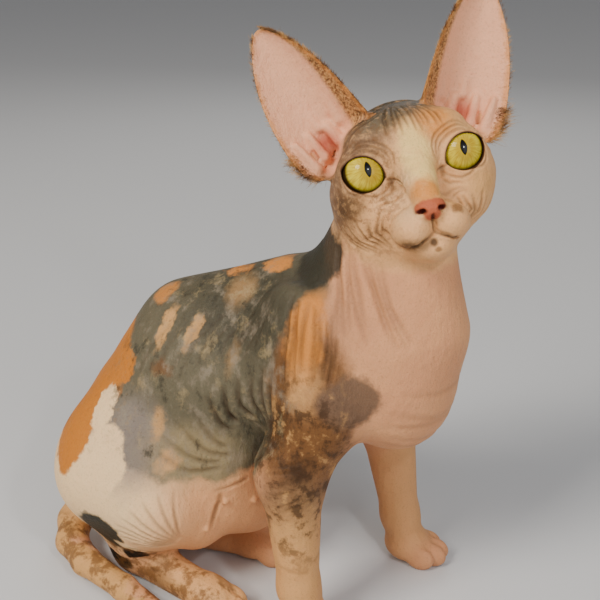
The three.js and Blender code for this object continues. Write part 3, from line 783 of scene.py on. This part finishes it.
def ear_marks(points):
    """The ears' rims, cups and backs, and the furred band inside each inner edge, each from 0 to 1."""
    marks = {name: np.zeros(len(points)) for name in ("rim", "cup", "back", "band")}
    for ear in EARS:
        near = np.flatnonzero(np.all((points > ear.low) & (points < ear.high), axis=1))
        u, v, w = ear.leaf_axes(*points[near].T)
        lift, across, share, width = ear.sheet(u, v)
        above = w - lift + EAR_THICK / 2
        reach = np.where(share > 0.02, 10, 6)
        on_leaf = (above > -3) & (above < reach) & (share > -0.12) & (np.abs(across) < 1.15)
        edge = np.maximum((np.abs(across) - 1) * width, (share - 1) * EAR_LENGTH)
        grown = np.clip((share + 0.12) / 0.1, 0, 1)
        band = np.clip((-across - 0.42 - 0.36 * share) / 0.14, 0, 1)
        found = {
            "rim": np.clip(1 + edge / 4, 0, 1),
            "cup": np.where(above > 0, grown, 0),
            "back": np.where(above > 0, 0, grown),
            "band": np.where(above > 0, band * grown, 0),
        }
        for name, values in found.items():
            marks[name][near] = np.maximum(marks[name][near], np.where(on_leaf, values, 0))
    return marks


def lid_marks(points):
    """1 at the lids' edge, falling to 0 a little way out on the skin."""
    mark = np.zeros(len(points))
    for side in (-1, 1):
        lids = Lids(side)
        deep, across, up = lids.place.local(*points.T)
        high = np.abs(up) / (lids.HEIGHT / 2)
        f = high ** 1.6 + (across / (lids.WIDTH / 2)) ** 2
        near = (deep > -6) & (deep < 16) & (f < 3)
        thin = np.where(up > 0, 4.5, 8.0)
        mark = np.maximum(mark, np.where(near, np.clip(1 - (np.sqrt(f) - 1) * thin, 0, 1), 0))
    return mark


def make_skin(forms):
    points, quads = make_net(forms)
    chosen = head_share(points[quads].mean(axis=1))
    points, faces = divide_quads(points, quads, chosen)
    finer = head_share(points)
    points[finer] = settle(forms, points[finer], CELL / 3)
    slope = slope_of(forms, points, 0.4)
    normals = slope / np.maximum(np.linalg.norm(slope, axis=1), 0.2)[:, None]
    marks = ear_marks(points)
    marks["lid"] = lid_marks(points)
    # the creases' painted shade is kept as the crease attribute
    points, marks["crease"] = press_creases(forms, points, normals)
    points[:, 2] = np.maximum(points[:, 2], 0)
    skin = new_mesh("skin", points, faces)
    for name, values in marks.items():
        set_attribute(skin.data, name, values)
    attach(skin, "root")
    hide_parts(*FLESH_NODES)
    return skin


def tint(red, green, blue):
    """A colour seen on a screen, from 0 to 255, as the linear colour that shaders take."""
    screen = [value / 255 for value in (red, green, blue)]
    return [c / 12.92 if c < 0.04045 else ((c + 0.055) / 1.055) ** 2.4 for c in screen]


class Shade:
    """A material's node tree, with short ways to add what the skin and eyes need."""

    def __init__(self, name):
        self.material = bpy.data.materials.new(name)
        self.material.use_nodes = True
        self.tree = self.material.node_tree
        self.shader = self.tree.nodes["Principled BSDF"]

    def add(self, kind, settings=(), **inputs):
        node = self.tree.nodes.new(kind)
        for key, value in dict(settings).items():
            setattr(node, key, value)
        for key, value in inputs.items():
            self.feed(node.inputs[key.replace("_", " ")], value)
        return node

    def feed(self, socket, value):
        if isinstance(value, bpy.types.NodeSocket):
            self.tree.links.new(value, socket)
        elif hasattr(value, "__len__") and len(value) == 3 and socket.type == "RGBA":
            socket.default_value = (*value, 1)
        else:
            socket.default_value = value

    def math(self, operation, a, b=0.0):
        node = self.add("ShaderNodeMath", {"operation": operation})
        self.feed(node.inputs[0], a)
        self.feed(node.inputs[1], b)
        return node.outputs[0]

    def vector(self, operation, a, b):
        node = self.add("ShaderNodeVectorMath", {"operation": operation})
        self.feed(node.inputs[0], a)
        self.feed(node.inputs["Scale" if operation == "SCALE" else 1], b)
        return node.outputs[0]

    def mapping(self, where, kind="POINT", **inputs):
        return self.add("ShaderNodeMapping", {"vector_type": kind}, Vector=where, **inputs).outputs[0]

    def millimetres(self):
        """Places in the body's own millimetres."""
        coordinates = self.add("ShaderNodeTexCoord").outputs["Object"]
        return self.mapping(coordinates, Scale=[1 / MM] * 3, Location=tuple(MIDDLE))

    def local(self, place, where):
        """The same in a frame of the body, such as the head's."""
        euler = Matrix(place.rotation.tolist()).to_euler()
        return self.mapping(where, "TEXTURE", Location=tuple(place.origin), Rotation=euler)

    def noise(self, where, size, detail, roughness=0.5, stretch=(1, 1, 1), output="Fac"):
        """Noise from 0 to 1 whose grains are about size millimetres, longer along a stretched axis."""
        scaled = self.mapping(where, Scale=[1 / (size * s) for s in stretch])
        node = self.add("ShaderNodeTexNoise", Vector=scaled, Scale=1.0, Detail=detail, Roughness=roughness)
        return node.outputs[output]

    def ramp(self, value, low, high, to_low=0.0, to_high=1.0):
        node = self.add("ShaderNodeMapRange", {"interpolation_type": "SMOOTHSTEP"}, Value=value,
                        From_Min=low, From_Max=high, To_Min=to_low, To_Max=to_high)
        return node.outputs[0]

    def patch(self, where, centre, radii, soft):
        """1 within an ellipsoid and 0 outside it, over a soft edge."""
        size = self.add("ShaderNodeVectorMath", {"operation": "LENGTH"})
        self.feed(size.inputs[0], self.mapping(where, "TEXTURE", Location=centre, Scale=radii))
        return self.ramp(size.outputs["Value"], 1 + soft, 1 - soft)

    def over(self, base, color, mask, cover=1.0):
        """One colour laid over another where the mask is 1, as thickly as cover says."""
        node = self.add("ShaderNodeMix", {"data_type": "RGBA"})
        self.feed(node.inputs["Factor"], mask if cover == 1.0 else self.math("MULTIPLY", mask, cover))
        self.feed(node.inputs[6], base)
        self.feed(node.inputs[7], color)
        return node.outputs[2]

    def surface(self, color, **values):
        """The material with its colour, and the values that are the same all over it."""
        self.feed(self.shader.inputs["Base Color"], color)
        for key, value in values.items():
            self.shader.inputs[key.replace("_", " ")].default_value = value
        return self.material

    def attribute(self, name):
        return self.add("ShaderNodeAttribute", {"attribute_name": name}).outputs["Fac"]


# The skin's colours
PINK = tint(205, 144, 102)
CREAM = tint(240, 202, 152)
BELLY = tint(230, 168, 116)
SLATE = tint(98, 90, 70)
SLATE_DARK = tint(50, 47, 36)
SLATE_LIGHT = tint(142, 128, 108)
LAVENDER = tint(136, 122, 112)
OLIVE = tint(164, 142, 102)
ORANGE = tint(206, 132, 60)
RUST = tint(190, 116, 40)
TAN = tint(206, 154, 94)
SAND = tint(218, 164, 106)
BROWN = tint(112, 74, 40)
GREY_BROWN = tint(110, 84, 64)
UMBER = tint(56, 36, 20)
# A near-black for the painted shadow low between the tail and the right hind foot
SHADOW_BLACK = tint(30, 27, 22)
FACE = tint(221, 166, 112)
BUFF = tint(236, 198, 122)
NOSE = tint(178, 92, 60)
# A dark red for the painted shade inside the nostrils and the nose's middle cleft
NOSTRIL_SHADE = tint(70, 16, 12)
EAR_PINK = tint(232, 170, 132)
EAR_RED = tint(186, 70, 52)
LID = tint(58, 32, 18)

# Markings on the body, each a colour, a centre, three radii, a soft edge and how far it covers
WIDE = 200  # a patch that runs right across the body
BODY_MARKS = [
    (BELLY, (-20, -40, 50), (60, WIDE, 34), 0.3, 0.8),
    (CREAM, (-46, -76, 64), (40, 34, 42), 0.5, 1.0),
    (CREAM, (-60, -30, 44), (34, 50, 26), 0.3, 0.8),
    (SLATE, (-2, -20, 118), (48, WIDE, 48), 0.05, 1.0),
    (SLATE, (10, 0, 162), (46, 60, 32), 0.08, 1.0),
    (SLATE, (-50, 0, 122), (34, 60, 42), 0.08, 1.0),
    (SLATE_DARK, (16, -20, 152), (40, 40, 20), 0.6, 0.65),
    (LAVENDER, (-30, -62, 86), (18, 20, 22), 0.5, 0.75),
    (OLIVE, (2, -50, 82), (26, 18, 15), 0.5, 0.6),
    (SLATE_DARK, (42, 4, 184), (17, 34, 26), 0.1, 0.95),
    (RUST, (-68, -36, 108), (27, 62, 32), 0.08, 1.0),
    (RUST, (-60, -66, 86), (12, 22, 20), 0.08, 1.0),
    (RUST, (-44, -46, 118), (8, 16, 8), 0.12, 1.0),
    (CREAM, (-46, -60, 99), (5, 14, 11), 0.12, 1.0),
    (CREAM, (-38, -74, 80), (11, 16, 20), 0.1, 1.0),
    (TAN, (-26, -38, 137), (2.8, 16, 9), 0.3, 0.9),
    (TAN, (-11, -35, 138), (2.4, 16, 7), 0.3, 0.85),
    (BROWN, (-20, -47, 122), (5, 12, 3.4), 0.5, 0.7),
    (TAN, (-18, -53, 97), (3.2, 12, 7), 0.5, 0.7),
    (SAND, (-12, -54, 80), (4, 12, 5), 0.5, 0.7),
    (TAN, (12, -40, 134), (3, 10, 9), 0.6, 0.3),
    (ORANGE, (-10, -10, 164), (12, 12, 4), 0.25, 0.95),
    (ORANGE, (14, -6, 169), (10, 10, 3.4), 0.25, 0.95),
    (TAN, (4, -17, 157), (6, 9, 7), 0.6, 0.4),
    (ORANGE, (-38, -24, 149), (7, 8, 5), 0.3, 0.8),
    (BROWN, (53, -40, 124), (20, 26, 32), 0.2, 0.9),
    (ORANGE, (50, -34, 150), (8, 20, 21), 0.3, 0.95),
    (SAND, (53, -40, 128), (8, 10, 12), 0.6, 0.5),
    (GREY_BROWN, (70, -30, 123), (12, 16, 12), 0.2, 0.95),
    (UMBER, (42, -50, 106), (12, 18, 13), 0.4, 0.95),
    (BROWN, (58, -42, 94), (20, 24, 24), 0.35, 0.9),
    (UMBER, (56, -48, 92), (8, 8, 9), 0.6, 0.7),
    (GREY_BROWN, (52, -44, 70), (20, 18, 16), 0.6, 0.7),
    (TAN, (52, -42, 40), (18, 16, 36), 0.5, 0.75),
    (TAN, (60, 42, 40), (18, 18, 50), 0.4, 0.5),
    (SLATE_DARK, (-44, -70, 38), (12, 13, 16), 0.12, 1.0),
    (CREAM, (-32, -68, 29), (8, 8, 3), 0.3, 0.9),
    # Painted shadow between the tail and the right hind foot, where the skin lies in shade
    (SHADOW_BLACK, (-31, -63, 23), (8, 8, 5), 0.15, 1.0),
    (SHADOW_BLACK, (-47, -60, 13), (11, 9, 6), 0.15, 1.0),
    (SAND, (4, -50, 8), (44, 15, 15), 0.3, 0.9),
    (UMBER, (-22, -52, 10), (12, 9, 6), 0.6, 0.6),
    (TAN, (-88, -44, 24), (22, 28, 30), 0.1, 1.0),
    (TAN, (-60, -72, 4), (46, 13, 15), 0.08, 1.0),
    (TAN, (8, -80, 2), (44, 13, 13), 0.08, 1.0),
    (ORANGE, (-40, 10, 126), (13, 20, 12), 0.12, 1.0),
    (ORANGE, (2, 26, 138), (8, 20, 16), 0.16, 1.0),
    (CREAM, (-40, 22, 74), (22, 24, 26), 0.1, 1.0),
    (BROWN, (48, 44, 128), (16, 22, 24), 0.2, 0.8),
    (SLATE, (-16, 26, 30), (16, 16, 16), 0.12, 0.9),
]

# Markings on the head, in its own millimetres
FACE_MARKS = [
    (CREAM, (8, -6, -12), (12, 12, 10), 0.5, 0.6),
    (SLATE_LIGHT, (-44, 0, 8), (30, 36, 28), 0.2, 0.9),
    (GREY_BROWN, (-12, -18, 13), (15, 15, 14), 0.4, 0.9),
    (SLATE_DARK, (-17, -2, 25), (18, 24, 9), 0.5, 0.95),
    (SLATE, (-5, -9, 20), (9, 12, 6), 0.6, 0.75),
    (GREY_BROWN, (-17, -31, -4), (16, 9, 20), 0.35, 0.85),
    (UMBER, (-6, -28, -12), (9, 7, 6), 0.5, 0.75),
    (GREY_BROWN, (4, -12, -9), (6, 5, 4), 0.6, 0.5),
    (BUFF, (5, 1, 3), (13, 6.4, 14), 0.4, 0.95),
    (BUFF, (10, 4, -8), (8, 4.5, 8), 0.4, 0.6),
    (ORANGE, (-4, 12, 13), (9, 7.5, 7), 0.5, 0.85),
    (ORANGE, (14, -0.5, -11.5), (8, 6.4, 5.4), 0.5, 0.95),
    (TAN, (12, 9.4, -15.6), (4, 4, 3), 0.5, 0.8),
    (BROWN, (13, 10.6, -20.4), (4, 2.6, 2.2), 0.5, 0.8),
    (UMBER, (12, -12, -31), (8, 8, 2.6), 0.8, 0.8),
    (TAN, (-3, 25, -14), (8, 7, 6), 0.5, 0.7),
    (TAN, (-10, 24, 10), (10, 8, 9), 0.5, 0.4),
]

# The finer marks of the face, whose edges are cleaner
FACE_DETAILS = [
    (LID, (2, -10.4, -6.4), (5, 1.5, 3.6), 0.5, 0.9),
    (LID, (2, 10.4, -6.4), (5, 1.3, 3.2), 0.5, 0.7),
    (NOSE, (17, 0, -17), (6, 6.8, 2.8), 0.15, 1.0),
    (NOSE, (18, 0, -19.6), (6, 3.4, 3.4), 0.2, 1.0),
    # Painted shade inside the nostrils and down the middle cleft of the nose
    (NOSTRIL_SHADE, (17, -3.9, -18.3), (5, 2.2, 1.1), 0.4, 1.0),
    (NOSTRIL_SHADE, (17, 3.9, -18.3), (5, 2.2, 1.1), 0.4, 1.0),
    (NOSTRIL_SHADE, (18, 0, -22), (5, 0.8, 2.4), 0.5, 0.9),
    (UMBER, (13, -0.8, -31.4), (4, 1.5, 1.6), 0.5, 0.85),
    (BROWN, (13, 0.4, -34.4), (4, 1.3, 1.0), 0.5, 0.7),
]


def warped(shade, where, size, strength):
    """Places shaken by noise, so that a patch laid on them has a ragged edge."""
    grains = shade.noise(where, size, 4, 0.62, output="Color")
    shift = shade.vector("SUBTRACT", grains, (0.5, 0.5, 0.5))
    return shade.vector("ADD", where, shade.vector("SCALE", shift, strength))


def marked(shade, color, where, marks):
    for mark, centre, radii, soft, cover in marks:
        color = shade.over(color, mark, shade.patch(where, centre, radii, soft), cover)
    return color


def base_color(shade, body):
    clouds = shade.noise(body, 30, 2)
    return shade.over(PINK, BELLY, shade.ramp(clouds, 0.35, 0.7, 0, 0.5))


def body_material():
    shade = Shade("skin_body")
    body = shade.millimetres()
    torn = warped(shade, body, 9, 11.0)
    color = marked(shade, base_color(shade, body), torn, BODY_MARKS)
    return finish_skin(shade, mottle_body(shade, color, body, torn), body)


NECK_FROM = 160  # marks that reach above this height lie beside the head's own
FACE_MIDDLE = (-17, 0, -6)
FACE_RADII = (50, 40, 40)
HEAD_REACH = 1.28  # times those radii, where the head's material gives way to the body's
EAR_BOTTOM = 8  # all that stands above this height in the head's frame is head or ear


def head_material():
    """The face and ears, with the neck's own marks round them, so that the two materials meet unseen."""
    shade = Shade("skin_head")
    body = shade.millimetres()
    near_neck = [mark for mark in BODY_MARKS if mark[1][2] + mark[2][2] > NECK_FROM and mark[1][0] > 0]
    color = marked(shade, base_color(shade, body), warped(shade, body, 9, 11.0), near_neck)
    face = shade.local(head, body)
    face_color = marked(shade, FACE, warped(shade, face, 4, 4.5), FACE_MARKS)
    face_color = mottle_face(shade, face_color, face)
    face_color = marked(shade, face_color, warped(shade, face, 1.6, 0.9), FACE_DETAILS)
    on_head = shade.patch(warped(shade, face, 6, 8.0), FACE_MIDDLE, FACE_RADII, 0.06)
    color = shade.over(color, face_color, on_head)
    color = ear_colors(shade, color, body)
    color = shade.over(color, LID, shade.ramp(shade.attribute("lid"), 0.25, 0.75))
    return finish_skin(shade, color, body)


def share_out_skin(skin):
    """Gives the faces of the head and ears the head's material and the others the body's."""
    for material in (body_material(), head_material()):
        skin.data.materials.append(material)
    centres = np.empty(3 * len(skin.data.polygons))
    skin.data.polygons.foreach_get("center", centres)
    local = np.stack(head.local(*(centres.reshape(-1, 3) / MM + MIDDLE).T), axis=1)
    away = np.linalg.norm((local - FACE_MIDDLE) / FACE_RADII, axis=1)
    on_head = (away < HEAD_REACH) | (local[:, 2] > EAR_BOTTOM)
    skin.data.polygons.foreach_set("material_index", on_head.astype(np.int32))


def finish_skin(shade, color, body):
    """Paints shade into the creases, darkens the pores, and sets how the skin shines."""
    # painted shade: the creases darkened towards umber
    color = shade.over(color, UMBER, shade.attribute("crease"), 0.85)
    fine = shade.noise(body, 0.9, 3, 0.6)
    color = shade.over(color, UMBER, shade.ramp(fine, 0.5, 0.85, 0, 0.3))
    skin_bump(shade, body)
    return shade.surface(
        color, Roughness=0.5, Specular_IOR_Level=0.16,
        Subsurface_Weight=0.06, Subsurface_Radius=(1.0, 0.35, 0.2), Subsurface_Scale=0.003,
    )


def mottle_body(shade, color, body, torn):
    """Grey lights and darks and tan flecks in the slate, and clouds on the tail and the right foreleg."""
    def tone(color, mark, values, low, high, where, cover):
        return shade.over(color, mark, shade.math("MULTIPLY", shade.ramp(values, low, high), where), cover)

    saddle = shade.patch(torn, (0, -14, 122), (50, WIDE, 50), 0.1)
    clouds = shade.noise(body, 8, 6, 0.7, (1, 1, 1.8))
    flecks = shade.noise(torn, 10, 5, 0.65, (1, 1, 1.6))
    color = tone(color, SLATE_LIGHT, clouds, 0.5, 0.68, saddle, 0.6)
    color = tone(color, OLIVE, flecks, 0.54, 0.7, saddle, 0.6)
    color = tone(color, SLATE_DARK, clouds, 0.47, 0.32, saddle, 0.75)
    leg = shade.patch(torn, (54, -46, 92), (26, 28, 48), 0.3)
    blotches = shade.noise(body, 8, 5, 0.65)
    color = tone(color, UMBER, blotches, 0.48, 0.62, leg, 0.75)
    color = tone(color, TAN, blotches, 0.46, 0.34, leg, 0.55)
    rump = shade.patch(torn, (-60, -40, 100), (30, 66, 34), 0.2)
    color = tone(color, BROWN, flecks, 0.52, 0.68, rump, 0.35)
    tail = shade.patch(body, (-30, -66, 8), (90, 26, 20), 0.1)
    return tone(color, BROWN, blotches, 0.44, 0.58, tail, 0.75)


def mottle_face(shade, color, face):
    """Brown clouds, thicker over the right side of the face."""
    grains = shade.noise(face, 3.2, 5, 0.7)
    right = shade.patch(face, (-6, -26, 0), (26, 22, 36), 0.5)
    dark = shade.math("MULTIPLY", shade.ramp(grains, 0.47, 0.62), right)
    color = shade.over(color, BROWN, dark, 0.6)
    return shade.over(color, SAND, shade.ramp(grains, 0.5, 0.34, 0, 0.4))


def ear_colors(shade, color, body):
    """Pink cups with a red canal, tan backs, a furred band and a dark broken rim."""
    cup = shade.attribute("cup")
    rim = shade.attribute("rim")
    color = shade.over(color, TAN, shade.attribute("back"), 0.8)
    veins = shade.noise(body, 6, 4, 0.7)
    inside = shade.over(EAR_PINK, EAR_RED, shade.ramp(veins, 0.55, 0.8, 0, 0.25))
    for ear in EARS:
        canal = tuple(ear.body_point(-13, 4.5, 2))
        notch = tuple(ear.body_point(-12, 5.5, -5))
        inside = shade.over(inside, EAR_RED, shade.patch(body, canal, (5, 5, 5), 0.7), 0.7)
        cup = shade.math("MAXIMUM", cup, shade.patch(body, notch, (9, 9, 9), 0.4))
    color = shade.over(color, inside, cup)
    specks = shade.noise(body, 1.3, 4, 0.7)
    furred = shade.over(TAN, BROWN, shade.ramp(specks, 0.42, 0.6))
    color = shade.over(color, furred, shade.attribute("band"), 0.9)
    broken = shade.math("MULTIPLY", rim, shade.ramp(veins, 0.3, 0.6, 0.55, 1.2))
    color = shade.over(color, ORANGE, shade.ramp(broken, 0.3, 0.75, 0, 0.6))
    return shade.over(color, UMBER, shade.ramp(broken, 0.85, 1.15, 0, 0.6))


def skin_bump(shade, body):
    """Pores, a net of fine lines and soft crumples."""
    pores = shade.noise(body, 0.5, 2, 0.6)
    lines = shade.add("ShaderNodeTexVoronoi", {"feature": "DISTANCE_TO_EDGE"}, Vector=body, Scale=0.8)
    net = shade.ramp(lines.outputs["Distance"], 0.0, 0.12)
    crumple = shade.noise(body, 3.2, 4, 0.6, (1, 1, 1.8))
    height = shade.math("ADD", shade.math("MULTIPLY", pores, 0.10), shade.math("MULTIPLY", net, 0.05))
    height = shade.math("ADD", height, shade.math("MULTIPLY", crumple, 0.9))
    bump = shade.add("ShaderNodeBump", Strength=0.8, Distance=0.0012, Height=height)
    shade.tree.links.new(bump.outputs[0], shade.shader.inputs["Normal"])


# Eyes
IRIS_RADIUS = 9.0
GAZE_AT = (296.8, -266.6, 372.0)  # a little to the right of the camera and above it
PUPIL = (1.4, 3.2)  # half width and half height
CORNEA_RISE = 0.7
EYE_SUNK = 0.05
EYE_RINGS = 48
EYE_SIDES = 72


def eye_place(side):
    """The eye's own frame: X along its gaze and Z up the head."""
    centre = head(-EYE_RADIUS + 0.3, side * EYE_APART, -0.6)
    gaze = np.array(GAZE_AT) - centre
    gaze /= np.linalg.norm(gaze)
    up = head.rotation[:, 2] - gaze * (head.rotation[:, 2] @ gaze)
    up /= np.linalg.norm(up)
    return Place(centre, np.stack([gaze, np.cross(up, gaze), up], axis=1))


def make_eye(side):
    place = eye_place(side)
    rings, sides = EYE_RINGS, EYE_SIDES
    points = []
    for ring in range(rings + 1):
        angle = math.pi * ring / rings
        within = 1 - (math.sin(angle) * EYE_RADIUS / IRIS_RADIUS) ** 2 if angle < math.pi / 2 else 0
        radius = EYE_RADIUS + CORNEA_RISE * max(within, 0) - EYE_SUNK
        across = radius * math.sin(angle)
        for around in (2 * math.pi * n / sides for n in range(sides)):
            y, z = across * math.cos(around), across * math.sin(around)
            points.append(place(radius * math.cos(angle), y, z))
    faces = [
        (r * sides + n, (r + 1) * sides + n, (r + 1) * sides + (n + 1) % sides, r * sides + (n + 1) % sides)
        for r in range(rings) for n in range(sides)
    ]
    name = "left" if side > 0 else "right"
    eye = new_mesh(f"eyeball_{name}", points, faces)
    clean = bmesh.new()
    clean.from_mesh(eye.data)
    bmesh.ops.remove_doubles(clean, verts=clean.verts, dist=1e-6)
    bmesh.ops.recalc_face_normals(clean, faces=clean.faces)
    clean.to_mesh(eye.data)
    clean.free()
    eye.data.materials.append(eye_material(name, place))
    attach(eye, "root")
    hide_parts(f"eye_{name}")


def eye_material(name, place):
    """A yellow iris with fibres, a darker amber round the upright pupil that is partly its own colour and
    partly painted shade for the iris's depth, and a dark outer ring.
    """
    shade = Shade(f"eye_{name}")
    where = shade.local(place, shade.millimetres())
    split = shade.add("ShaderNodeSeparateXYZ", Vector=where)
    y, z = split.outputs["Y"], split.outputs["Z"]
    squares = [shade.math("POWER", value, 2.0) for value in (y, z)]
    away = shade.math("POWER", shade.math("ADD", *squares), 0.5)
    around = shade.math("MULTIPLY", shade.math("ARCTAN2", y, z), 9.0)
    polar = shade.add("ShaderNodeCombineXYZ", X=around, Y=shade.math("MULTIPLY", away, 0.35))
    fibres = shade.add("ShaderNodeTexNoise", Vector=polar.outputs[0], Scale=1.0, Detail=4.0).outputs["Fac"]
    color = shade.over(tint(214, 192, 52), tint(172, 138, 26), shade.ramp(fibres, 0.35, 0.7, 0, 0.8))
    # Darker amber round the pupil: the iris's own colour, and painted shade for its depth
    inner = shade.patch(where, (EYE_RADIUS, 0.4, -0.3), (4, 4.2, 5.4), 0.35)
    color = shade.over(color, tint(150, 112, 18), inner, 0.55)
    color = shade.over(color, tint(3, 3, 3), slit(shade, y, z))
    color = shade.over(color, tint(48, 32, 12), shade.ramp(away, IRIS_RADIUS - 1.7, IRIS_RADIUS - 0.5))
    return shade.surface(
        color, Roughness=0.4, Specular_IOR_Level=0.1,
        Coat_Weight=0.3, Coat_Roughness=0.02, Coat_IOR=1.45,
    )


def slit(shade, y, z):
    """The upright pupil, pointed at both ends."""
    parts = [
        shade.math("POWER", shade.math("ABSOLUTE", shade.math("DIVIDE", value, half)), power)
        for value, half, power in ((z, PUPIL[1], 1.6), (y, PUPIL[0], 1.5))
    ]
    return shade.ramp(shade.math("ADD", *parts), 1.12, 0.88)


# Fuzz on the rims and outer roots of the ears
TUFT_SIDES = 3
TUFT_COUNT = 4200  # on each ear
ROOT_TUFT_EVERY = 5  # one tuft of these is a longer one, at the ear's outer root
TUFT_SUNK = 0.7  # below the face of the leaf
BAKE_PATCH = 0.003


def tuft(root, tip, bend, width):
    """A thin tapered hair of three sides, bent once, as points and faces."""
    along = tip - root
    length = np.linalg.norm(along)
    aside = np.cross(along, [0.31, 0.52, 0.8])
    aside /= np.linalg.norm(aside)
    other = np.cross(along / length, aside)
    middle = root + 0.55 * along + bend
    points = []
    for centre, radius in ((root, width), (middle, width * 0.7)):
        for n in range(TUFT_SIDES):
            angle = 2 * math.pi * n / TUFT_SIDES
            points.append(centre + radius * (math.cos(angle) * aside + math.sin(angle) * other))
    points.append(tip)
    faces = [(2, 1, 0)]
    for n in range(TUFT_SIDES):
        m = (n + 1) % TUFT_SIDES
        faces += [(n, m, TUFT_SIDES + m, TUFT_SIDES + n), (TUFT_SIDES + n, TUFT_SIDES + m, 2 * TUFT_SIDES)]
    return points, faces


def tuft_root(ear, share, across):
    """A place in the leaf's thickness, from its share of the way to the tip and its place across."""
    inner, outer, depth = ear.section(share)
    u = across * (inner if across < 0 else outer)
    v = EAR_LENGTH * share + (1 - max(share, 0)) * -EAR_TILT * across
    w = -depth * (1 - across * across) + 3 * share - TUFT_SUNK
    return ear.body_point(w, u, v)


def make_fuzz(ear):
    """Short down along both edges of the leaf and longer tufts at its outer root."""
    draw = np.random.default_rng(11 + ear.side)
    points, faces, bake = [], [], []
    for n in range(TUFT_COUNT):
        root_tuft = n % ROOT_TUFT_EVERY == 0
        share = draw.uniform(-0.12, 0.14) if root_tuft else draw.uniform(0.0, 0.98) ** 0.9
        edge = 1 if root_tuft or draw.random() < 0.2 else -1
        inmost = 0.8 if edge > 0 else 0.5 + 0.36 * share
        across = edge * draw.uniform(inmost, 1.0)
        root = tuft_root(ear, share, across)
        out = tuft_root(ear, share + 0.04, edge * 1.15) - root
        out /= np.linalg.norm(out)
        length = draw.uniform(2.0, 4.5) if root_tuft else draw.uniform(0.8, 1.8)
        tip = root + length * (out + 0.35 * draw.normal(size=3))
        bend = 0.12 * length * draw.normal(size=3)
        some, rings = tuft(root - 0.4 * out, tip, bend, draw.uniform(0.05, 0.09))
        faces += [[len(points) + k for k in ring] for ring in rings]
        points += some
        bake += [(share, across)] * len(rings)
    name = "left" if ear.side > 0 else "right"
    fuzz = new_mesh(f"fuzz_ear_{name}", points, faces)
    bake_map(fuzz, faces, bake, 0.25 if ear.side < 0 else 0.75)
    fuzz.data.materials.append(fuzz_material())
    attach(fuzz, "root")
    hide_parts(f"ear_{name}")


def bake_map(piece, faces, bake, middle):
    """Each tuft's faces on a small patch at its root's place on the flattened leaf."""
    layer = piece.data.uv_layers.new(name="OFBake")
    corner = 0
    for ring, (share, across) in zip(faces, bake):
        for n in range(len(ring)):
            u = middle + 0.2 * across + BAKE_PATCH * (n % 2)
            v = 0.1 + 0.8 * share + BAKE_PATCH * (n // 2)
            layer.data[corner].uv = (u, v)
            corner += 1


def fuzz_material():
    shade = Shade("fuzz")
    body = shade.millimetres()
    clumps = shade.noise(body, 5, 2)
    color = shade.over(tint(214, 164, 98), tint(118, 80, 42), shade.ramp(clumps, 0.4, 0.6))
    return shade.surface(color, Roughness=0.7)


FLOOR_HALF = 9.0  # metres


def make_floor():
    mesh = bpy.data.meshes.new("floor")
    corners = [(FLOOR_HALF * x, FLOOR_HALF * y, 0) for x, y in ((-1, -1), (1, -1), (1, 1), (-1, 1))]
    mesh.from_pydata(corners, [], [(0, 1, 2, 3)])
    mesh.materials.append(Shade("floor").surface((0.62, 0.62, 0.62), Roughness=0.8))
    put("floor", mesh)


# The camera: where it stands in the body's millimetres, and the way that it looks
CAMERA_AT = (253.4, -326.5, 312.0)
CAMERA_AZIMUTH = 35.0
CAMERA_DOWN = 22.0
FOCAL_PIXELS = 934.0
PHOTO_PIXELS = 600.0


def make_camera():
    az = math.radians(CAMERA_AZIMUTH)
    down = math.radians(CAMERA_DOWN)
    back = Vector((math.sin(az) * math.cos(down), -math.cos(az) * math.cos(down), math.sin(down)))
    data = bpy.data.cameras.new("camera")
    data.sensor_width = 36
    data.lens = FOCAL_PIXELS / PHOTO_PIXELS * data.sensor_width
    data.clip_start = 0.01
    camera = put("camera", data)
    camera.rotation_euler = back.to_track_quat("Z", "Y").to_euler()
    camera.location = (np.array(CAMERA_AT) - MIDDLE) * MM
    bpy.context.scene.camera = camera


def make_light(name, place, power, size, color):
    data = bpy.data.lights.new(name, "AREA")
    data.energy = power
    data.color = color
    data.size = size
    light = put(name, data)
    light.location = place
    aim = Vector((0, 0, 0.15)) - Vector(place)
    light.rotation_euler = aim.to_track_quat("-Z", "Y").to_euler()


def make_lights():
    make_light("key", (-0.25, -1.2, 1.3), 30, 0.6, (1.0, 0.95, 0.88))
    make_light("fill", (1.2, -0.5, 0.7), 6, 0.9, (0.92, 0.95, 1.0))
    make_light("rim", (-0.5, 1.1, 0.9), 3, 0.6, (1.0, 0.98, 0.94))
    make_light("catchlight", (0.334, -0.195, 0.432), 0.5, 0.03, (1.0, 1.0, 1.0))
    world = bpy.data.worlds.new("studio")
    world.use_nodes = True
    background = world.node_tree.nodes["Background"]
    background.inputs["Color"].default_value = (0.84, 0.84, 0.86, 1)
    background.inputs["Strength"].default_value = 0.32
    bpy.context.scene.world = world


make_camera()
make_lights()
make_floor()
share_out_skin(make_skin(all_forms()))
for ear in EARS:
    make_fuzz(ear)
for side in (-1, 1):
    make_eye(side)
